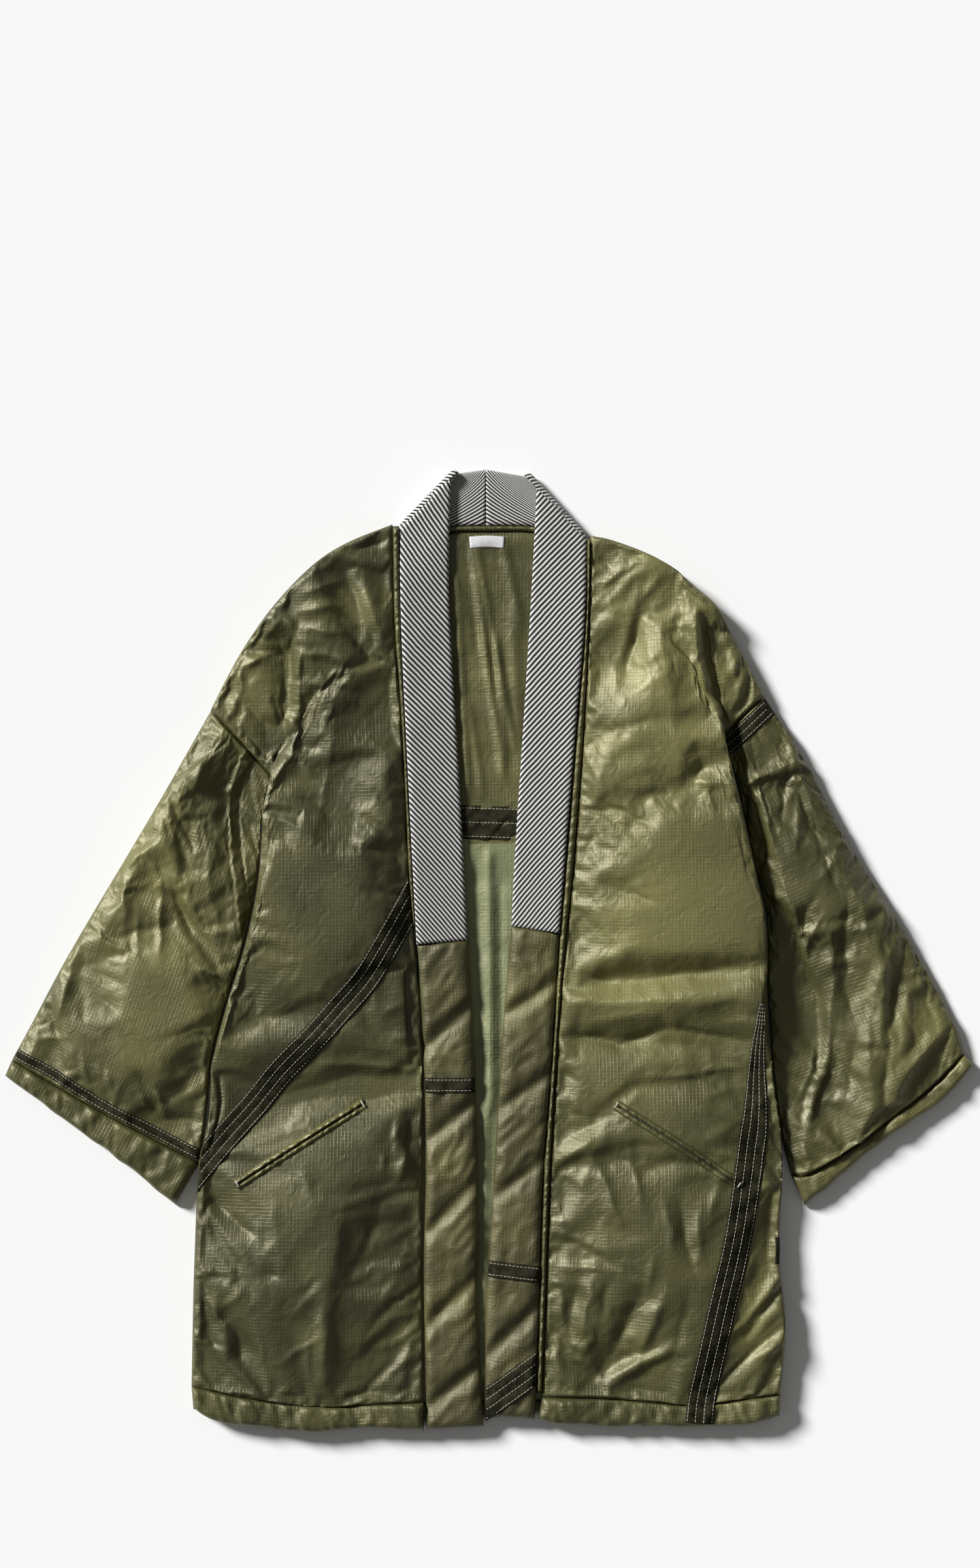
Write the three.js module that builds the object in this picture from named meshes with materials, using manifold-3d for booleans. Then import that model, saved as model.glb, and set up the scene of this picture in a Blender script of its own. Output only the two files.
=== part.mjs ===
// A padded hanten, the short wide-sleeved jacket of Japan, laid flat on its back with the front up.
// Units are millimetres. +Z is up from the surface it lies on, +Y runs from the hem to the collar,
// and left and right are as seen from above.
import * as THREE from 'three';
import { mergeVertices } from 'three/addons/utils/BufferGeometryUtils.js';
import Module from 'manifold-3d';

const wasm = await Module();
wasm.setup();

// Driving dimensions
const SEAM_GAP = 0.3;          // between two pieces that are sewn edge to edge
const LAYER_GAP = 0.4;         // between two layers that lie on each other
const BACK_WALL = 9;           // wadded back, shell to lining
const INSIDE_WALL = 7;         // the back where it shows between the collar bands
const FRONT_WALL = 14;         // wadded front at its fullest
const SHOULDER_DROP = 8;       // how far the cloth lies lower beyond the drag fold at the armpit
const SLEEVE_HEIGHT = 18;      // both walls of a sleeve laid flat
const SLEEVE_LOW = 9;          // the same beside the body, where it is pressed down
const SLIT_HEIGHT = 0.8;       // the empty inside of a sleeve laid flat
const SLIT_INSET = 14;         // from a sleeve's folded edge to its empty inside
const SLIT_FLOOR = { outer: 6.6, inner: 4 };
const COLLAR_WALL = 7;
const COLLAR_BEND = 3.9;       // middle radius of its slanting fold
const PIPING_HEIGHT = 6;
const BAND_HEIGHT = 10.5;       // the collar below its striped part
const BAND_STITCH_DEPTH = 4.5;
const BAND_STITCH_WIDTH = 7;
const HEM_HEIGHT = 11;
const CUFF_HEIGHT = 15;
const TAPE_WALL = 1.4;
const WELT_WALL = 2.2;
const LABEL_WALL = 0.9;
const RIM = 9;                 // width of the rounded edge of a wadded panel
const FRONT_FLOOR = BACK_WALL + LAYER_GAP;

const OLIVE = { color: 0x6b6a36, roughness: 0.45, metalness: 0 };
const STRIPE = { color: 0x9c9a98, roughness: 0.85, metalness: 0 };
const BLACK = { color: 0x23241c, roughness: 0.75, metalness: 0 };
const WHITE = { color: 0xe8eaf2, roughness: 0.7, metalness: 0 };

// Outlines, each a smooth line through points [x, y]
const OUTLINE = {
  shoulderLeft: [[-274, 236], [-259, 266], [-239, 301], [-207, 344], [-170, 381], [-142, 399], [-96, 418]],
  shoulderRight: [[99, 407], [118, 403], [167, 383], [207, 352], [223, 337], [242, 301], [269, 250]],
  neck: [[-96, 418], [-91, 409], [-80, 406], [-60, 408], [-36, 410.5], [0, 411], [40, 410.5], [66, 405],
    [82, 399.5], [93, 398.5], [99, 407]],
  collarSeam: [[-86, 412], [-70, 414.6], [-50, 416.8], [-4, 417.6], [44, 416.8], [62, 413.8], [91, 402.5]],
  armholeLeft: [[-274, 236], [-215, 172]],
  armholeRight: [[269, 250], [229, 212]],
  sideLeft: [[-215, 172], [-221, 143], [-227, 68], [-239, 9], [-258, -53], [-272, -109], [-276, -162],
    [-285, -209], [-290, -300], [-293, -428]],
  sideRight: [[229, 212], [242, 158], [260, 77], [269, 30], [271, -35], [276, -115], [286, -190],
    [284, -303], [290, -365], [285, -436]],
  hemSeamLeft: [[-293, -428], [-236, -440], [-157, -448], [-118, -446], [-65, -444]],
  hemSeamRight: [[51, -439], [115, -440], [164, -444], [201, -446], [285, -436]],
  hemSeamBack: [[-293, -428], [-236, -440], [-150, -446], [-40, -446], [60, -443], [201, -446], [285, -436]],
  hemEdgeBack: [[-291, -449], [-271, -461], [-209, -469], [-160, -471], [-60, -468], [50, -458], [115, -466],
    [213, -466], [262, -463], [284, -456]],
  hemEdgeLeft: [[-291, -451], [-271, -463], [-209, -471], [-166, -474], [-131, -470], [-65, -472]],
  hemEdgeRight: [[47, -461], [66, -466], [115, -468], [213, -468], [262, -465], [284, -458]],
  frontEdgeLeft: [[-96, 418], [-94, 317], [-88, 239], [-84, 164], [-79, 61], [-70, -28], [-66, -147], [-67, -313],
    [-65, -444]],
  frontEdgeRight: [[99, 407], [98, 342], [93, 228], [82, 81], [72, -17], [61, -182], [54, -358], [51, -439]],
  collarOuterLeft: [[-89, 417], [-87, 317], [-80, 164], [-72, 6]],
  collarInnerLeft: [[-38, 468], [-40, 408], [-40, 342], [-30, 164], [-22, 10]],
  bandOuterLeft: [[-72, 5.7], [-66, -84], [-63, -209], [-65, -313], [-62, -470]],
  bandInnerLeft: [[-22, 9.7], [-15, -115], [-12, -283], [-13, -348], [-6, -467]],
  collarOuterRight: [[95, 407], [93, 325], [85, 228], [73, 81], [68, 17]],
  collarInnerRight: [[46, 458], [42, 376], [35, 257], [24, 86], [21, 24]],
  bandOuterRight: [[68, 16.7], [60, -115], [52, -223], [48, -358], [44, -460]],
  bandInnerRight: [[21, 23.7], [12, -84], [0, -283], [-4, -340], [-5, -456]],
  sleeveOuterLeft: [[-274, 236], [-325, 146], [-403, 15], [-424, -22], [-452, -75], [-470, -108]],
  sleeveInnerLeft: [[-215, 172], [-223, 141], [-229, 68], [-241, 9], [-260, -53], [-274, -109], [-279, -162], [-286, -209]],
  cuffSeamLeft: [[-470, -108], [-394, -152], [-351, -175], [-286, -209]],
  cuffEdgeLeft: [[-477, -124], [-406, -177], [-365, -207], [-310, -251]],
  sleeveOuterRight: [[269, 250], [304, 195], [356, 100], [406, 21], [459, -78], [466, -102]],
  sleeveInnerRight: [[229, 212], [244, 158], [262, 77], [272, 30], [273, -35], [278, -115], [288, -190], [296, -221]],
  cuffSeamRight: [[296, -221], [307, -222], [360, -191], [397, -163], [434, -134], [466, -102]],
  cuffEdgeRight: [[310, -252], [344, -224], [381, -193], [412, -171], [444, -150], [477, -114]],
};

// Folds and rolls of the cloth: a ridge (height over 0) or a trough along a line from start to end
const FOLD_COLUMNS = ['startX', 'startY', 'endX', 'endY', 'width', 'height'];
const FOLDS = {
  frontLeft: [
    [-180, 301, -184, 196, 17, 4], [-211, 141, -221, 36, 15, 4], [-227, 10, -259, -92, 15, 3],
    [-259, -118, -266, -195, 13, 2], [-191, 145, -198, 23, 14, -3], [-173, 362, -141, 292, 16, 2.5],
    [-141, 369, -122, 285, 10, -2.5], [-147, 196, -160, 100, 32, 2], [-96, -15, -102, -92, 19, 2],
    [-157, -252, -162, -412, 12, 3.5], [-211, -284, -176, -323, 18, -4], [-269, -316, -259, -387, 13, 3],
    [-256, -361, -224, -412, 14, -2.5], [-198, -150, -134, -124, 14, -3],
  ],
  frontRight: [
    [191, 317, 214, 215, 17, 4], [227, 196, 256, 36, 18, 4.5], [256, 10, 256, -67, 15, 3],
    [118, -28, 257, -19, 12, -3.5], [86, -53, 250, -41, 14, 3.5], [93, -86, 243, -95, 14, -3.5],
    [133, -3, 243, 20, 13, 2.5], [154, 356, 134, 279, 9, -2], [134, 228, 173, 68, 38, 3],
    [109, -195, 134, -284, 19, 2.5], [150, -342, 106, -415, 17, -4], [115, -422, 179, -387, 10, 3],
    [250, -374, 285, -332, 6, -3], [262, -396, 285, -380, 8, 3],
  ],
  sleeveLeft: [
    [-269, 209, -320, 106, 17, 3], [-342, 93, -374, 10, 14, 3], [-320, 138, -294, 81, 9, -2.5],
    [-282, 132, -269, 23, 13, 3.5], [-307, 49, -269, -15, 9, -2.5], [-269, -28, -240, -67, 8, -3],
    [-352, -67, -326, -124, 12, 2.5], [-416, -41, -410, -118, 12, 2.5],
  ],
  sleeveRight: [
    [272, 170, 314, 23, 14, 3], [301, 170, 346, 36, 10, -2.5], [346, -15, 336, -143, 14, 3],
    [358, 23, 371, -92, 13, -3], [410, -41, 397, -143, 10, 2.5], [442, -92, 390, -156, 9, -2.5],
  ],
  back: [
    [-10, 375, 13, 177, 5, 3], [-31, 356, -22, 164, 5, 1.5], [-1, 93, 1, -156, 5, 3],
    [-15, 81, -10, -92, 4, -1.5],
  ],
  plain: [],
};

// Lines where the cloth drops from a high layer to a low one, listed downwards
const DROP = {
  frontLeft: [[-187, 326], [-191, 285], [-194, 230], [-199, 194], [-215, 172]],
  frontRight: [[204, 337], [204, 310], [211, 273], [220, 236], [229, 212]],
  sleeveLeft: [[-227, 215], [-240, 186], [-251, 150], [-250, 100], [-243, 36], [-239, -3]],
  sleeveRight: [[239, 236], [246, 198], [257, 173], [288, 55], [308, -10], [323, -41], [327, -84], [323, -115],
    [310, -150], [305, -182], [304, -222]],
};

// Slanting rows of stitches that quilt the lower collar bands: [startX, startY, endX, endY]
const BAND_STITCHES = {
  left: [[-66, -97, -16, -53], [-62, -186, -13, -148], [-62, -277, -12, -224], [-64, -370, -13, -320],
    [-62, -448, -8, -407]],
  right: [[14, -64, 65, -30], [8, -156, 60, -120], [2, -244, 54, -204], [-4, -398, 50, -347]],
};

// Curves and samples
const curve = (points) => new THREE.CatmullRomCurve3(
  points.map(([x, y]) => new THREE.Vector3(x, y, 0)), false, 'centripetal');

// Shares of a length, close together near an end that is a rounded rim
function shares(length, count, rimAtStart = true, rimAtEnd = true) {
  const first = rimAtStart ? RIM / length : 0;
  const last = rimAtEnd ? 1 - RIM / length : 1;
  const list = [];
  if (rimAtStart) list.push(0, first * 0.3);
  for (let i = 0; i <= count; i++) list.push(first + (last - first) * (i / count));
  if (rimAtEnd) list.push(1 - (1 - last) * 0.3, 1);
  return list;
}

function sample(points, list) {
  const line = curve(points);
  return list.map((share) => line.getPointAt(THREE.MathUtils.clamp(share, 0, 1)));
}

const straight = (from, to, count) => Array.from({ length: count + 1 }, (_, i) => (
  new THREE.Vector3(from[0], from[1], 0).lerp(new THREE.Vector3(to[0], to[1], 0), i / count)));
const joined = (first, second) => [...first, ...second.slice(1)];
const moved = (points, x, y) => points.map((p) => new THREE.Vector3(p.x + x, p.y + y, 0));

// Points of a panel between its four edges, row by row from the top edge to the bottom one
function rowsBetween({ top, bottom, left, right }) {
  const across = top.length - 1;
  const down = left.length - 1;
  const alongTop = lengthShares(top);
  const alongBottom = lengthShares(bottom);
  const alongLeft = lengthShares(left);
  const alongRight = lengthShares(right);
  const rows = [];
  for (let j = 0; j <= down; j++) {
    const row = [];
    for (let i = 0; i <= across; i++) {
      const v = THREE.MathUtils.lerp(alongLeft[j], alongRight[j], i / across);
      const u = THREE.MathUtils.lerp(alongTop[i], alongBottom[i], v);
      const ruledDown = top[i].clone().lerp(bottom[i], v);
      const ruledAcross = left[j].clone().lerp(right[j], u);
      const upper = top[0].clone().lerp(top[across], u);
      const lower = bottom[0].clone().lerp(bottom[across], u);
      row.push(ruledDown.add(ruledAcross).sub(upper.lerp(lower, v)));
    }
    rows.push(row);
  }
  return rows;
}

function lengthShares(points) {
  const sums = [0];
  for (let i = 1; i < points.length; i++) sums.push(sums[i - 1] + points[i].distanceTo(points[i - 1]));
  return sums.map((sum) => sum / sums.at(-1));
}

// Relief of the cloth
function nearestOnLine(x, y, line) {
  let best = { distance: Infinity };
  for (let k = 0; k + 1 < line.length; k++) {
    const [ax, ay] = line[k];
    const [bx, by] = line[k + 1];
    const dx = bx - ax;
    const dy = by - ay;
    const along = THREE.MathUtils.clamp(((x - ax) * dx + (y - ay) * dy) / (dx * dx + dy * dy), 0, 1);
    const distance = Math.hypot(x - ax - along * dx, y - ay - along * dy);
    if (distance < best.distance) {
      const side = Math.sign(dx * (y - ay) - dy * (x - ax)) || 1;
      best = { distance, side, share: (k + along) / (line.length - 1) };
    }
  }
  return best;
}

const named = (row) => Object.fromEntries(FOLD_COLUMNS.map((name, i) => [name, row[i]]));

function foldRelief(x, y, folds) {
  return folds.reduce((sum, row) => {
    const fold = named(row);
    const near = nearestOnLine(x, y, [[fold.startX, fold.startY], [fold.endX, fold.endY]]);
    return sum + fold.height * Math.exp(-((near.distance / fold.width) ** 2));
  }, 0);
}

// 1 on the low side of a drop line, 0 on its high side. lowSide is 1 where the low cloth lies towards +X
// of the line and -1 where it lies towards -X; fade is the share of the line over which the drop starts.
function lowered(x, y, line, lowSide, fade) {
  const near = nearestOnLine(x, y, line);
  const across = near.distance * near.side * lowSide;
  const start = fade ? THREE.MathUtils.smoothstep(near.share, 0, fade) : 1;
  return start * THREE.MathUtils.smoothstep(across, -6, 4);
}

const roundedEdge = (distance, radius) => {
  const t = Math.min(distance / radius, 1);
  return Math.sqrt(1 - (1 - t) ** 2);
};

// Solids
class Skin {
  constructor() {
    this.positions = [];
    this.faces = [];
  }

  point(x, y, z) {
    this.positions.push(x, y, z);
    return this.positions.length / 3 - 1;
  }

  face(a, b, c) {
    if (a !== b && b !== c && c !== a) this.faces.push(a, b, c);
  }

  quad(a, b, c, d) {
    this.face(a, b, c);
    this.face(a, c, d);
  }

  geometry() {
    const made = new THREE.BufferGeometry();
    made.setAttribute('position', new THREE.Float32BufferAttribute(this.positions, 3));
    made.setIndex(this.faces);
    return made;
  }
}

// A panel lying at height base: a flat lower face, an upper face at base + height(x, y), and rounded rims
function panel({ edges, base, height, rim = {}, edgeShare = 0.3, lift = 1.5 }) {
  const rows = rowsBetween(edges);
  const down = rows.length - 1;
  const across = rows[0].length - 1;
  const radius = { top: RIM, bottom: RIM, left: RIM, right: RIM, ...rim };
  const skin = new Skin();
  const upper = rows.map((row, j) => row.map((p, i) => {
    const full = height(p.x, p.y);
    const soft = roundedEdge(p.distanceTo(rows[0][i]), radius.top)
      * roundedEdge(p.distanceTo(rows[down][i]), radius.bottom)
      * roundedEdge(p.distanceTo(row[0]), radius.left)
      * roundedEdge(p.distanceTo(row[across]), radius.right);
    p.z = base + full * (edgeShare + (1 - edgeShare) * soft);
    return skin.point(p.x, p.y, p.z);
  }));
  for (let j = 0; j < down; j++) {
    for (let i = 0; i < across; i++) {
      skin.quad(upper[j][i], upper[j + 1][i], upper[j + 1][i + 1], upper[j][i + 1]);
    }
  }
  // the rim, anticlockwise from the top left corner, then the flat underside inside it
  const loop = [];
  for (let j = 0; j < down; j++) loop.push([j, 0]);
  for (let i = 0; i < across; i++) loop.push([down, i]);
  for (let j = down; j > 0; j--) loop.push([j, across]);
  for (let i = across; i > 0; i--) loop.push([0, i]);
  const lower = loop.map(([j, i]) => skin.point(rows[j][i].x, rows[j][i].y, base + lift));
  const flat = new Map();
  const inner = loop.map(([j, i]) => {
    const at = [THREE.MathUtils.clamp(j, 1, down - 1), THREE.MathUtils.clamp(i, 1, across - 1)];
    const key = at.join();
    const p = rows[at[0]][at[1]];
    if (!flat.has(key)) flat.set(key, { index: skin.point(p.x, p.y, base), x: p.x, y: p.y });
    return flat.get(key).index;
  });
  loop.forEach(([j, i], k) => {
    const next = (k + 1) % loop.length;
    const [nextJ, nextI] = loop[next];
    skin.quad(lower[k], lower[next], upper[nextJ][nextI], upper[j][i]);
    skin.quad(lower[k], inner[k], inner[next], lower[next]);
  });
  const ring = [...flat.values()];
  const outline = ring.map((p) => new THREE.Vector2(p.x, p.y));
  const sign = Math.sign(THREE.ShapeUtils.area(outline));
  THREE.ShapeUtils.triangulateShape(outline, []).forEach(([a, b, c]) => {
    if (sign > 0) skin.face(ring[a].index, ring[c].index, ring[b].index);
    else skin.face(ring[a].index, ring[b].index, ring[c].index);
  });
  return skin.geometry();
}

// A strip swept through stations: each station gives the middle of the wall across the strip,
// from its sewn edge to its free edge, and the wall stands half its thickness to each side.
function strip(stations, across, wall) {
  const at = (k, s) => {
    const { sewn, free } = stations[THREE.MathUtils.clamp(k, 0, stations.length - 1)];
    return sewn.clone().lerp(free, s);
  };
  const skin = new Skin();
  const sides = [1, -1].map((side) => stations.map((_, k) => {
    const list = [];
    for (let i = 0; i <= across; i++) {
      const s = i / across;
      const along = at(k + 1, s).sub(at(k - 1, s));
      const over = at(k, 1).sub(at(k, 0));
      const normal = over.cross(along).normalize();
      const crown = 0.45 + 0.55 * roundedEdge(Math.min(s, 1 - s), 0.14);
      const p = at(k, s).addScaledVector(normal, side * crown * wall / 2);
      list.push(skin.point(p.x, p.y, p.z));
    }
    return list;
  }));
  const [face, back] = sides;
  const last = stations.length - 1;
  for (let k = 0; k < last; k++) {
    for (let i = 0; i < across; i++) {
      skin.quad(face[k][i], face[k][i + 1], face[k + 1][i + 1], face[k + 1][i]);
      skin.quad(back[k][i], back[k + 1][i], back[k + 1][i + 1], back[k][i + 1]);
    }
    skin.quad(face[k][0], face[k + 1][0], back[k + 1][0], back[k][0]);
    skin.quad(face[k][across], back[k][across], back[k + 1][across], face[k + 1][across]);
  }
  for (let i = 0; i < across; i++) {
    skin.quad(face[0][i], back[0][i], back[0][i + 1], face[0][i + 1]);
    skin.quad(face[last][i], face[last][i + 1], back[last][i + 1], back[last][i]);
  }
  return skin.geometry();
}

// Booleans
function solid(geometry) {
  const bare = new THREE.BufferGeometry();
  bare.setAttribute('position', geometry.getAttribute('position'));
  bare.setIndex(geometry.index);
  const merged = mergeVertices(bare, 1e-4);
  return new wasm.Manifold(new wasm.Mesh({
    numProp: 3,
    vertProperties: merged.attributes.position.array,
    triVerts: new Uint32Array(merged.index.array),
  }));
}

function geometryOf(manifold) {
  const { vertProperties, triVerts } = manifold.getMesh();
  const made = new THREE.BufferGeometry();
  made.setAttribute('position', new THREE.BufferAttribute(new Float32Array(vertProperties), 3));
  made.setIndex([...triVerts]);
  return made;
}

const largest = (manifold) => manifold.decompose().reduce((a, b) => (a.volume() > b.volume() ? a : b));

function outward(skin) {
  const first = solid(skin.geometry());
  if (first.volume() > 0) return first;
  skin.faces.reverse();
  return solid(skin.geometry());
}

// A tube swept through rings of points; every ring has the same number of points
function sweptRings(rings, closeEnds) {
  const skin = new Skin();
  const index = rings.map((ring) => ring.map(([x, y, z]) => skin.point(x, y, z)));
  const around = rings[0].length;
  for (let k = 0; k + 1 < rings.length; k++) {
    for (let i = 0; i < around; i++) {
      const n = (i + 1) % around;
      skin.quad(index[k][i], index[k][n], index[k + 1][n], index[k + 1][i]);
    }
  }
  closeEnds(skin, index[0], true);
  closeEnds(skin, index.at(-1), false);
  return outward(skin);
}

// Ends of a ring made of a run of points above and the same run back below
function ladderEnd(skin, ring, flip) {
  const half = ring.length / 2;
  for (let i = 0; i + 1 < half; i++) {
    const quad = [ring[i], ring[i + 1], ring[ring.length - 2 - i], ring[ring.length - 1 - i]];
    if (flip) quad.reverse();
    skin.quad(...quad);
  }
}

// The empty inside of a sleeve: a flat slot from one open end to the other
function hollowed(geometry, slotRows) {
  const rings = slotRows.map((pair) => [
    ...pair.map(([p, z]) => [p.x, p.y, z + SLIT_HEIGHT]),
    ...pair.map(([p, z]) => [p.x, p.y, z]).reverse(),
  ]);
  return geometryOf(largest(solid(geometry).subtract(sweptRings(rings, ladderEnd))));
}

// The height of the cloth at a point, from the triangles of the pieces that lie there
function surfaceOf(geometries) {
  const ray = new THREE.Raycaster();
  const side = THREE.DoubleSide;
  const meshes = geometries.map((g) => new THREE.Mesh(g, new THREE.MeshBasicMaterial({ side })));
  return (x, y) => {
    ray.set(new THREE.Vector3(x, y, 500), new THREE.Vector3(0, 0, -1));
    const hits = ray.intersectObjects(meshes);
    return hits.length ? hits[0].point.z : null;
  };
}

// A narrow piece sewn on top of the cloth: its underside is the cloth's own surface moved out.
// within is the outline of the piece of cloth it is cut off at, and bridge how far it spans over a dip.
function sewnOn({ hosts, path, width, wall, steps, across = 2, within = null, bridge = 0 }) {
  const line = curve(path);
  const surface = surfaceOf(hosts);
  const widthAt = typeof width === 'function' ? width : () => width;
  let height = FRONT_FLOOR;
  const rings = [];
  for (let k = 0; k <= steps; k++) {
    const middle = line.getPointAt(k / steps);
    const tangent = line.getTangentAt(k / steps);
    const above = [];
    for (let i = 0; i <= across; i++) {
      const offset = widthAt(k / steps) * (i / across - 0.5);
      const x = middle.x + tangent.y * offset;
      const y = middle.y - tangent.x * offset;
      const found = [-bridge, 0, bridge]
        .map((along) => surface(x + tangent.x * along, y + tangent.y * along))
        .filter((z) => z !== null);
      height = found.length ? Math.max(...found) : height;
      above.push([x, y, height + SEAM_GAP + wall]);
    }
    const depth = wall + 3 + bridge / 3;
    rings.push([...above, ...above.map(([x, y, z]) => [x, y, z - depth]).reverse()]);
  }
  let piece = sweptRings(rings, ladderEnd);
  hosts.forEach((host) => [SEAM_GAP, 0, -1.2, -2.4].forEach((z) => {
    piece = piece.subtract(solid(host).translate([0, 0, z]));
  }));
  if (within) piece = piece.intersect(solid(panel({ edges: within, base: -20, height: () => 90, edgeShare: 1, lift: 1 })));
  return geometryOf(largest(piece));
}

// Where an outline crosses a given x or y: returns its other coordinate there
function crossing(points, axis, value) {
  const other = axis === 'x' ? 'y' : 'x';
  const line = curve(points).getPoints(120);
  const k = line.findIndex((p, i) => i > 0 && (p[axis] - value) * (line[i - 1][axis] - value) <= 0);
  const [a, b] = [line[k - 1], line[k]];
  return THREE.MathUtils.lerp(a[other], b[other], (value - a[axis]) / (b[axis] - a[axis]));
}

// A panel's edges with its two long sides a little inside it
function inset({ top, bottom, left, right }) {
  const narrowed = (line) => line.map((p, i) => {
    const share = i / (line.length - 1);
    return new THREE.Vector3(p.x + SEAM_GAP * (1 - 2 * share), p.y, 0);
  });
  return { top: narrowed(top), bottom: narrowed(bottom), left: moved(left, SEAM_GAP, 0), right: moved(right, -SEAM_GAP, 0) };
}

const garment = new THREE.Group();

function add(name, geometry, finish) {
  const mesh = new THREE.Mesh(geometry, new THREE.MeshStandardMaterial(finish));
  mesh.name = name;
  garment.add(mesh);
  return geometry;
}

// Body: the back, then the two fronts that lie on it
const ARMHOLE_SHARES = [0, 0.03, 0.1, 0.4, 0.7, 1];
const bodyLeft = (rows) => joined(
  sample(OUTLINE.armholeLeft, ARMHOLE_SHARES), sample(OUTLINE.sideLeft, shares(600, rows, false, true)));
const bodyRight = (rows) => joined(
  sample(OUTLINE.armholeRight, ARMHOLE_SHARES), sample(OUTLINE.sideRight, shares(640, rows, false, true)));
const bodyRows = (rows, length) => shares(length, rows + 3, true, true);

const backTop = joined(
  joined(sample(OUTLINE.shoulderLeft, shares(260, 5, true, false)), sample(OUTLINE.neck, shares(1, 13, false, false))),
  sample(OUTLINE.shoulderRight, shares(240, 5, false, true)));
const backHemShares = [...shares(260, 5, true, false).map((s) => 0.41 * s),
  ...shares(1, 13, false, false).slice(1).map((s) => 0.41 + 0.16 * s),
  ...shares(240, 5, false, true).slice(1).map((s) => 0.57 + 0.43 * s)];
const backHem = sample(OUTLINE.hemSeamBack, backHemShares);
const openingMiddle = (y) => 1 - 7 * THREE.MathUtils.smoothstep(-y, 100, 460);
const openingHalf = (y) => THREE.MathUtils.clamp(26 + y * 0.05, 6, 46);
const back = add('back', panel({
  edges: { top: backTop, bottom: moved(backHem, 0, SEAM_GAP / 2), left: bodyLeft(17), right: bodyRight(17) },
  base: 0,
  edgeShare: 0.45,
  lift: 2,
  height: (x, y) => {
    const away = Math.abs(x - openingMiddle(y)) / openingHalf(y);
    const inside = 1 - THREE.MathUtils.smoothstep(away, 1, 1.5);
    return THREE.MathUtils.lerp(BACK_WALL, INSIDE_WALL, inside) + inside * foldRelief(x, y, FOLDS.back);
  },
}), OLIVE);

const frontRim = { top: 12, bottom: 10, outer: 8, inner: 24 };
const frontRowCount = 34;
const frontLeftEdges = {
  top: sample(OUTLINE.shoulderLeft, shares(270, 13)),
  bottom: moved(sample(OUTLINE.hemSeamLeft, shares(230, 13)), 0, SEAM_GAP / 2),
  left: bodyLeft(frontRowCount),
  right: sample(OUTLINE.frontEdgeLeft, bodyRows(frontRowCount, 865)),
};
const frontLeft = add('front_left', panel({
  edges: frontLeftEdges,
  base: FRONT_FLOOR,
  rim: { top: frontRim.top, bottom: frontRim.bottom, left: frontRim.outer, right: frontRim.inner },
  height: (x, y) => FRONT_WALL + foldRelief(x, y, FOLDS.frontLeft)
    - SHOULDER_DROP * lowered(x, y, DROP.frontLeft, -1, 0.4),
}), OLIVE);
const frontRight = add('front_right', panel({
  edges: {
    top: sample(OUTLINE.shoulderRight, shares(240, 13)),
    bottom: moved(sample(OUTLINE.hemSeamRight, shares(236, 13)), 0, SEAM_GAP / 2),
    left: sample(OUTLINE.frontEdgeRight, bodyRows(frontRowCount, 850)),
    right: bodyRight(frontRowCount),
  },
  base: FRONT_FLOOR,
  rim: { top: frontRim.top, bottom: frontRim.bottom, left: frontRim.inner, right: frontRim.outer },
  height: (x, y) => FRONT_WALL + foldRelief(x, y, FOLDS.frontRight)
    - SHOULDER_DROP * lowered(x, y, DROP.frontRight, 1, 0.4),
}), OLIVE);

// Hem bands, one on each front and one on the back
add('hem_back', panel({
  edges: {
    top: moved(backHem, 0, -SEAM_GAP / 2),
    bottom: sample(OUTLINE.hemEdgeBack, backHemShares),
    left: straight([-293, -428.15], [-291, -449], 3),
    right: straight([285, -436.15], [284, -456], 3),
  },
  base: 0, edgeShare: 0.45, lift: 2, rim: { top: 5, bottom: 9, left: 6, right: 6 },
  height: () => BACK_WALL,
}), OLIVE);
const hemLeft = add('hem_left', panel({
  edges: {
    top: moved(sample(OUTLINE.hemSeamLeft, shares(230, 13)), 0, -SEAM_GAP / 2),
    bottom: sample(OUTLINE.hemEdgeLeft, shares(230, 13)),
    left: straight([-293, -428.15], [-291, -451], 4),
    right: straight([-65, -444.15], [-65, -472], 4),
  },
  base: FRONT_FLOOR, rim: { top: 6, bottom: 12, left: 8, right: 6 },
  height: () => HEM_HEIGHT,
}), OLIVE);
const hemRight = add('hem_right', panel({
  edges: {
    top: moved(sample(OUTLINE.hemSeamRight, shares(236, 13)), 0, -SEAM_GAP / 2),
    bottom: sample(OUTLINE.hemEdgeRight, shares(236, 13)),
    left: straight([51, -439.15], [47, -461], 4),
    right: straight([285, -436.15], [284, -458], 4),
  },
  base: FRONT_FLOOR, rim: { top: 6, bottom: 12, left: 6, right: 8 },
  height: () => HEM_HEIGHT,
}), OLIVE);

// Sleeves, flat tubes sewn to the body at the armhole, and the bands at their ends
const slotBetween = (outer, inner, count) => {
  const outerLine = curve(outer);
  const innerLine = curve(inner);
  const rows = [];
  for (let k = 0; k <= count; k++) {
    const share = k / count;
    const a = outerLine.getPointAt(share);
    const b = innerLine.getPointAt(share);
    const inset = SLIT_INSET / a.distanceTo(b);
    rows.push([[a.clone().lerp(b, inset), SLIT_FLOOR.outer], [b.clone().lerp(a, inset), SLIT_FLOOR.inner]]);
  }
  const beyond = (end, next) => end.map(([p, z], i) => [p.clone().lerp(next[i][0], -0.5), z]);
  return [beyond(rows[0], rows[1]), ...rows, beyond(rows.at(-1), rows.at(-2))];
};
const sleeveHeight = (x, y, folds, drop, lowSide) => {
  const low = lowered(x, y, drop, lowSide, 0);
  return Math.max(SLEEVE_HEIGHT + foldRelief(x, y, folds) - SLEEVE_LOW * low, SLEEVE_LOW);
};
const sleeveRows = shares(390, 18, true, true);
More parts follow.
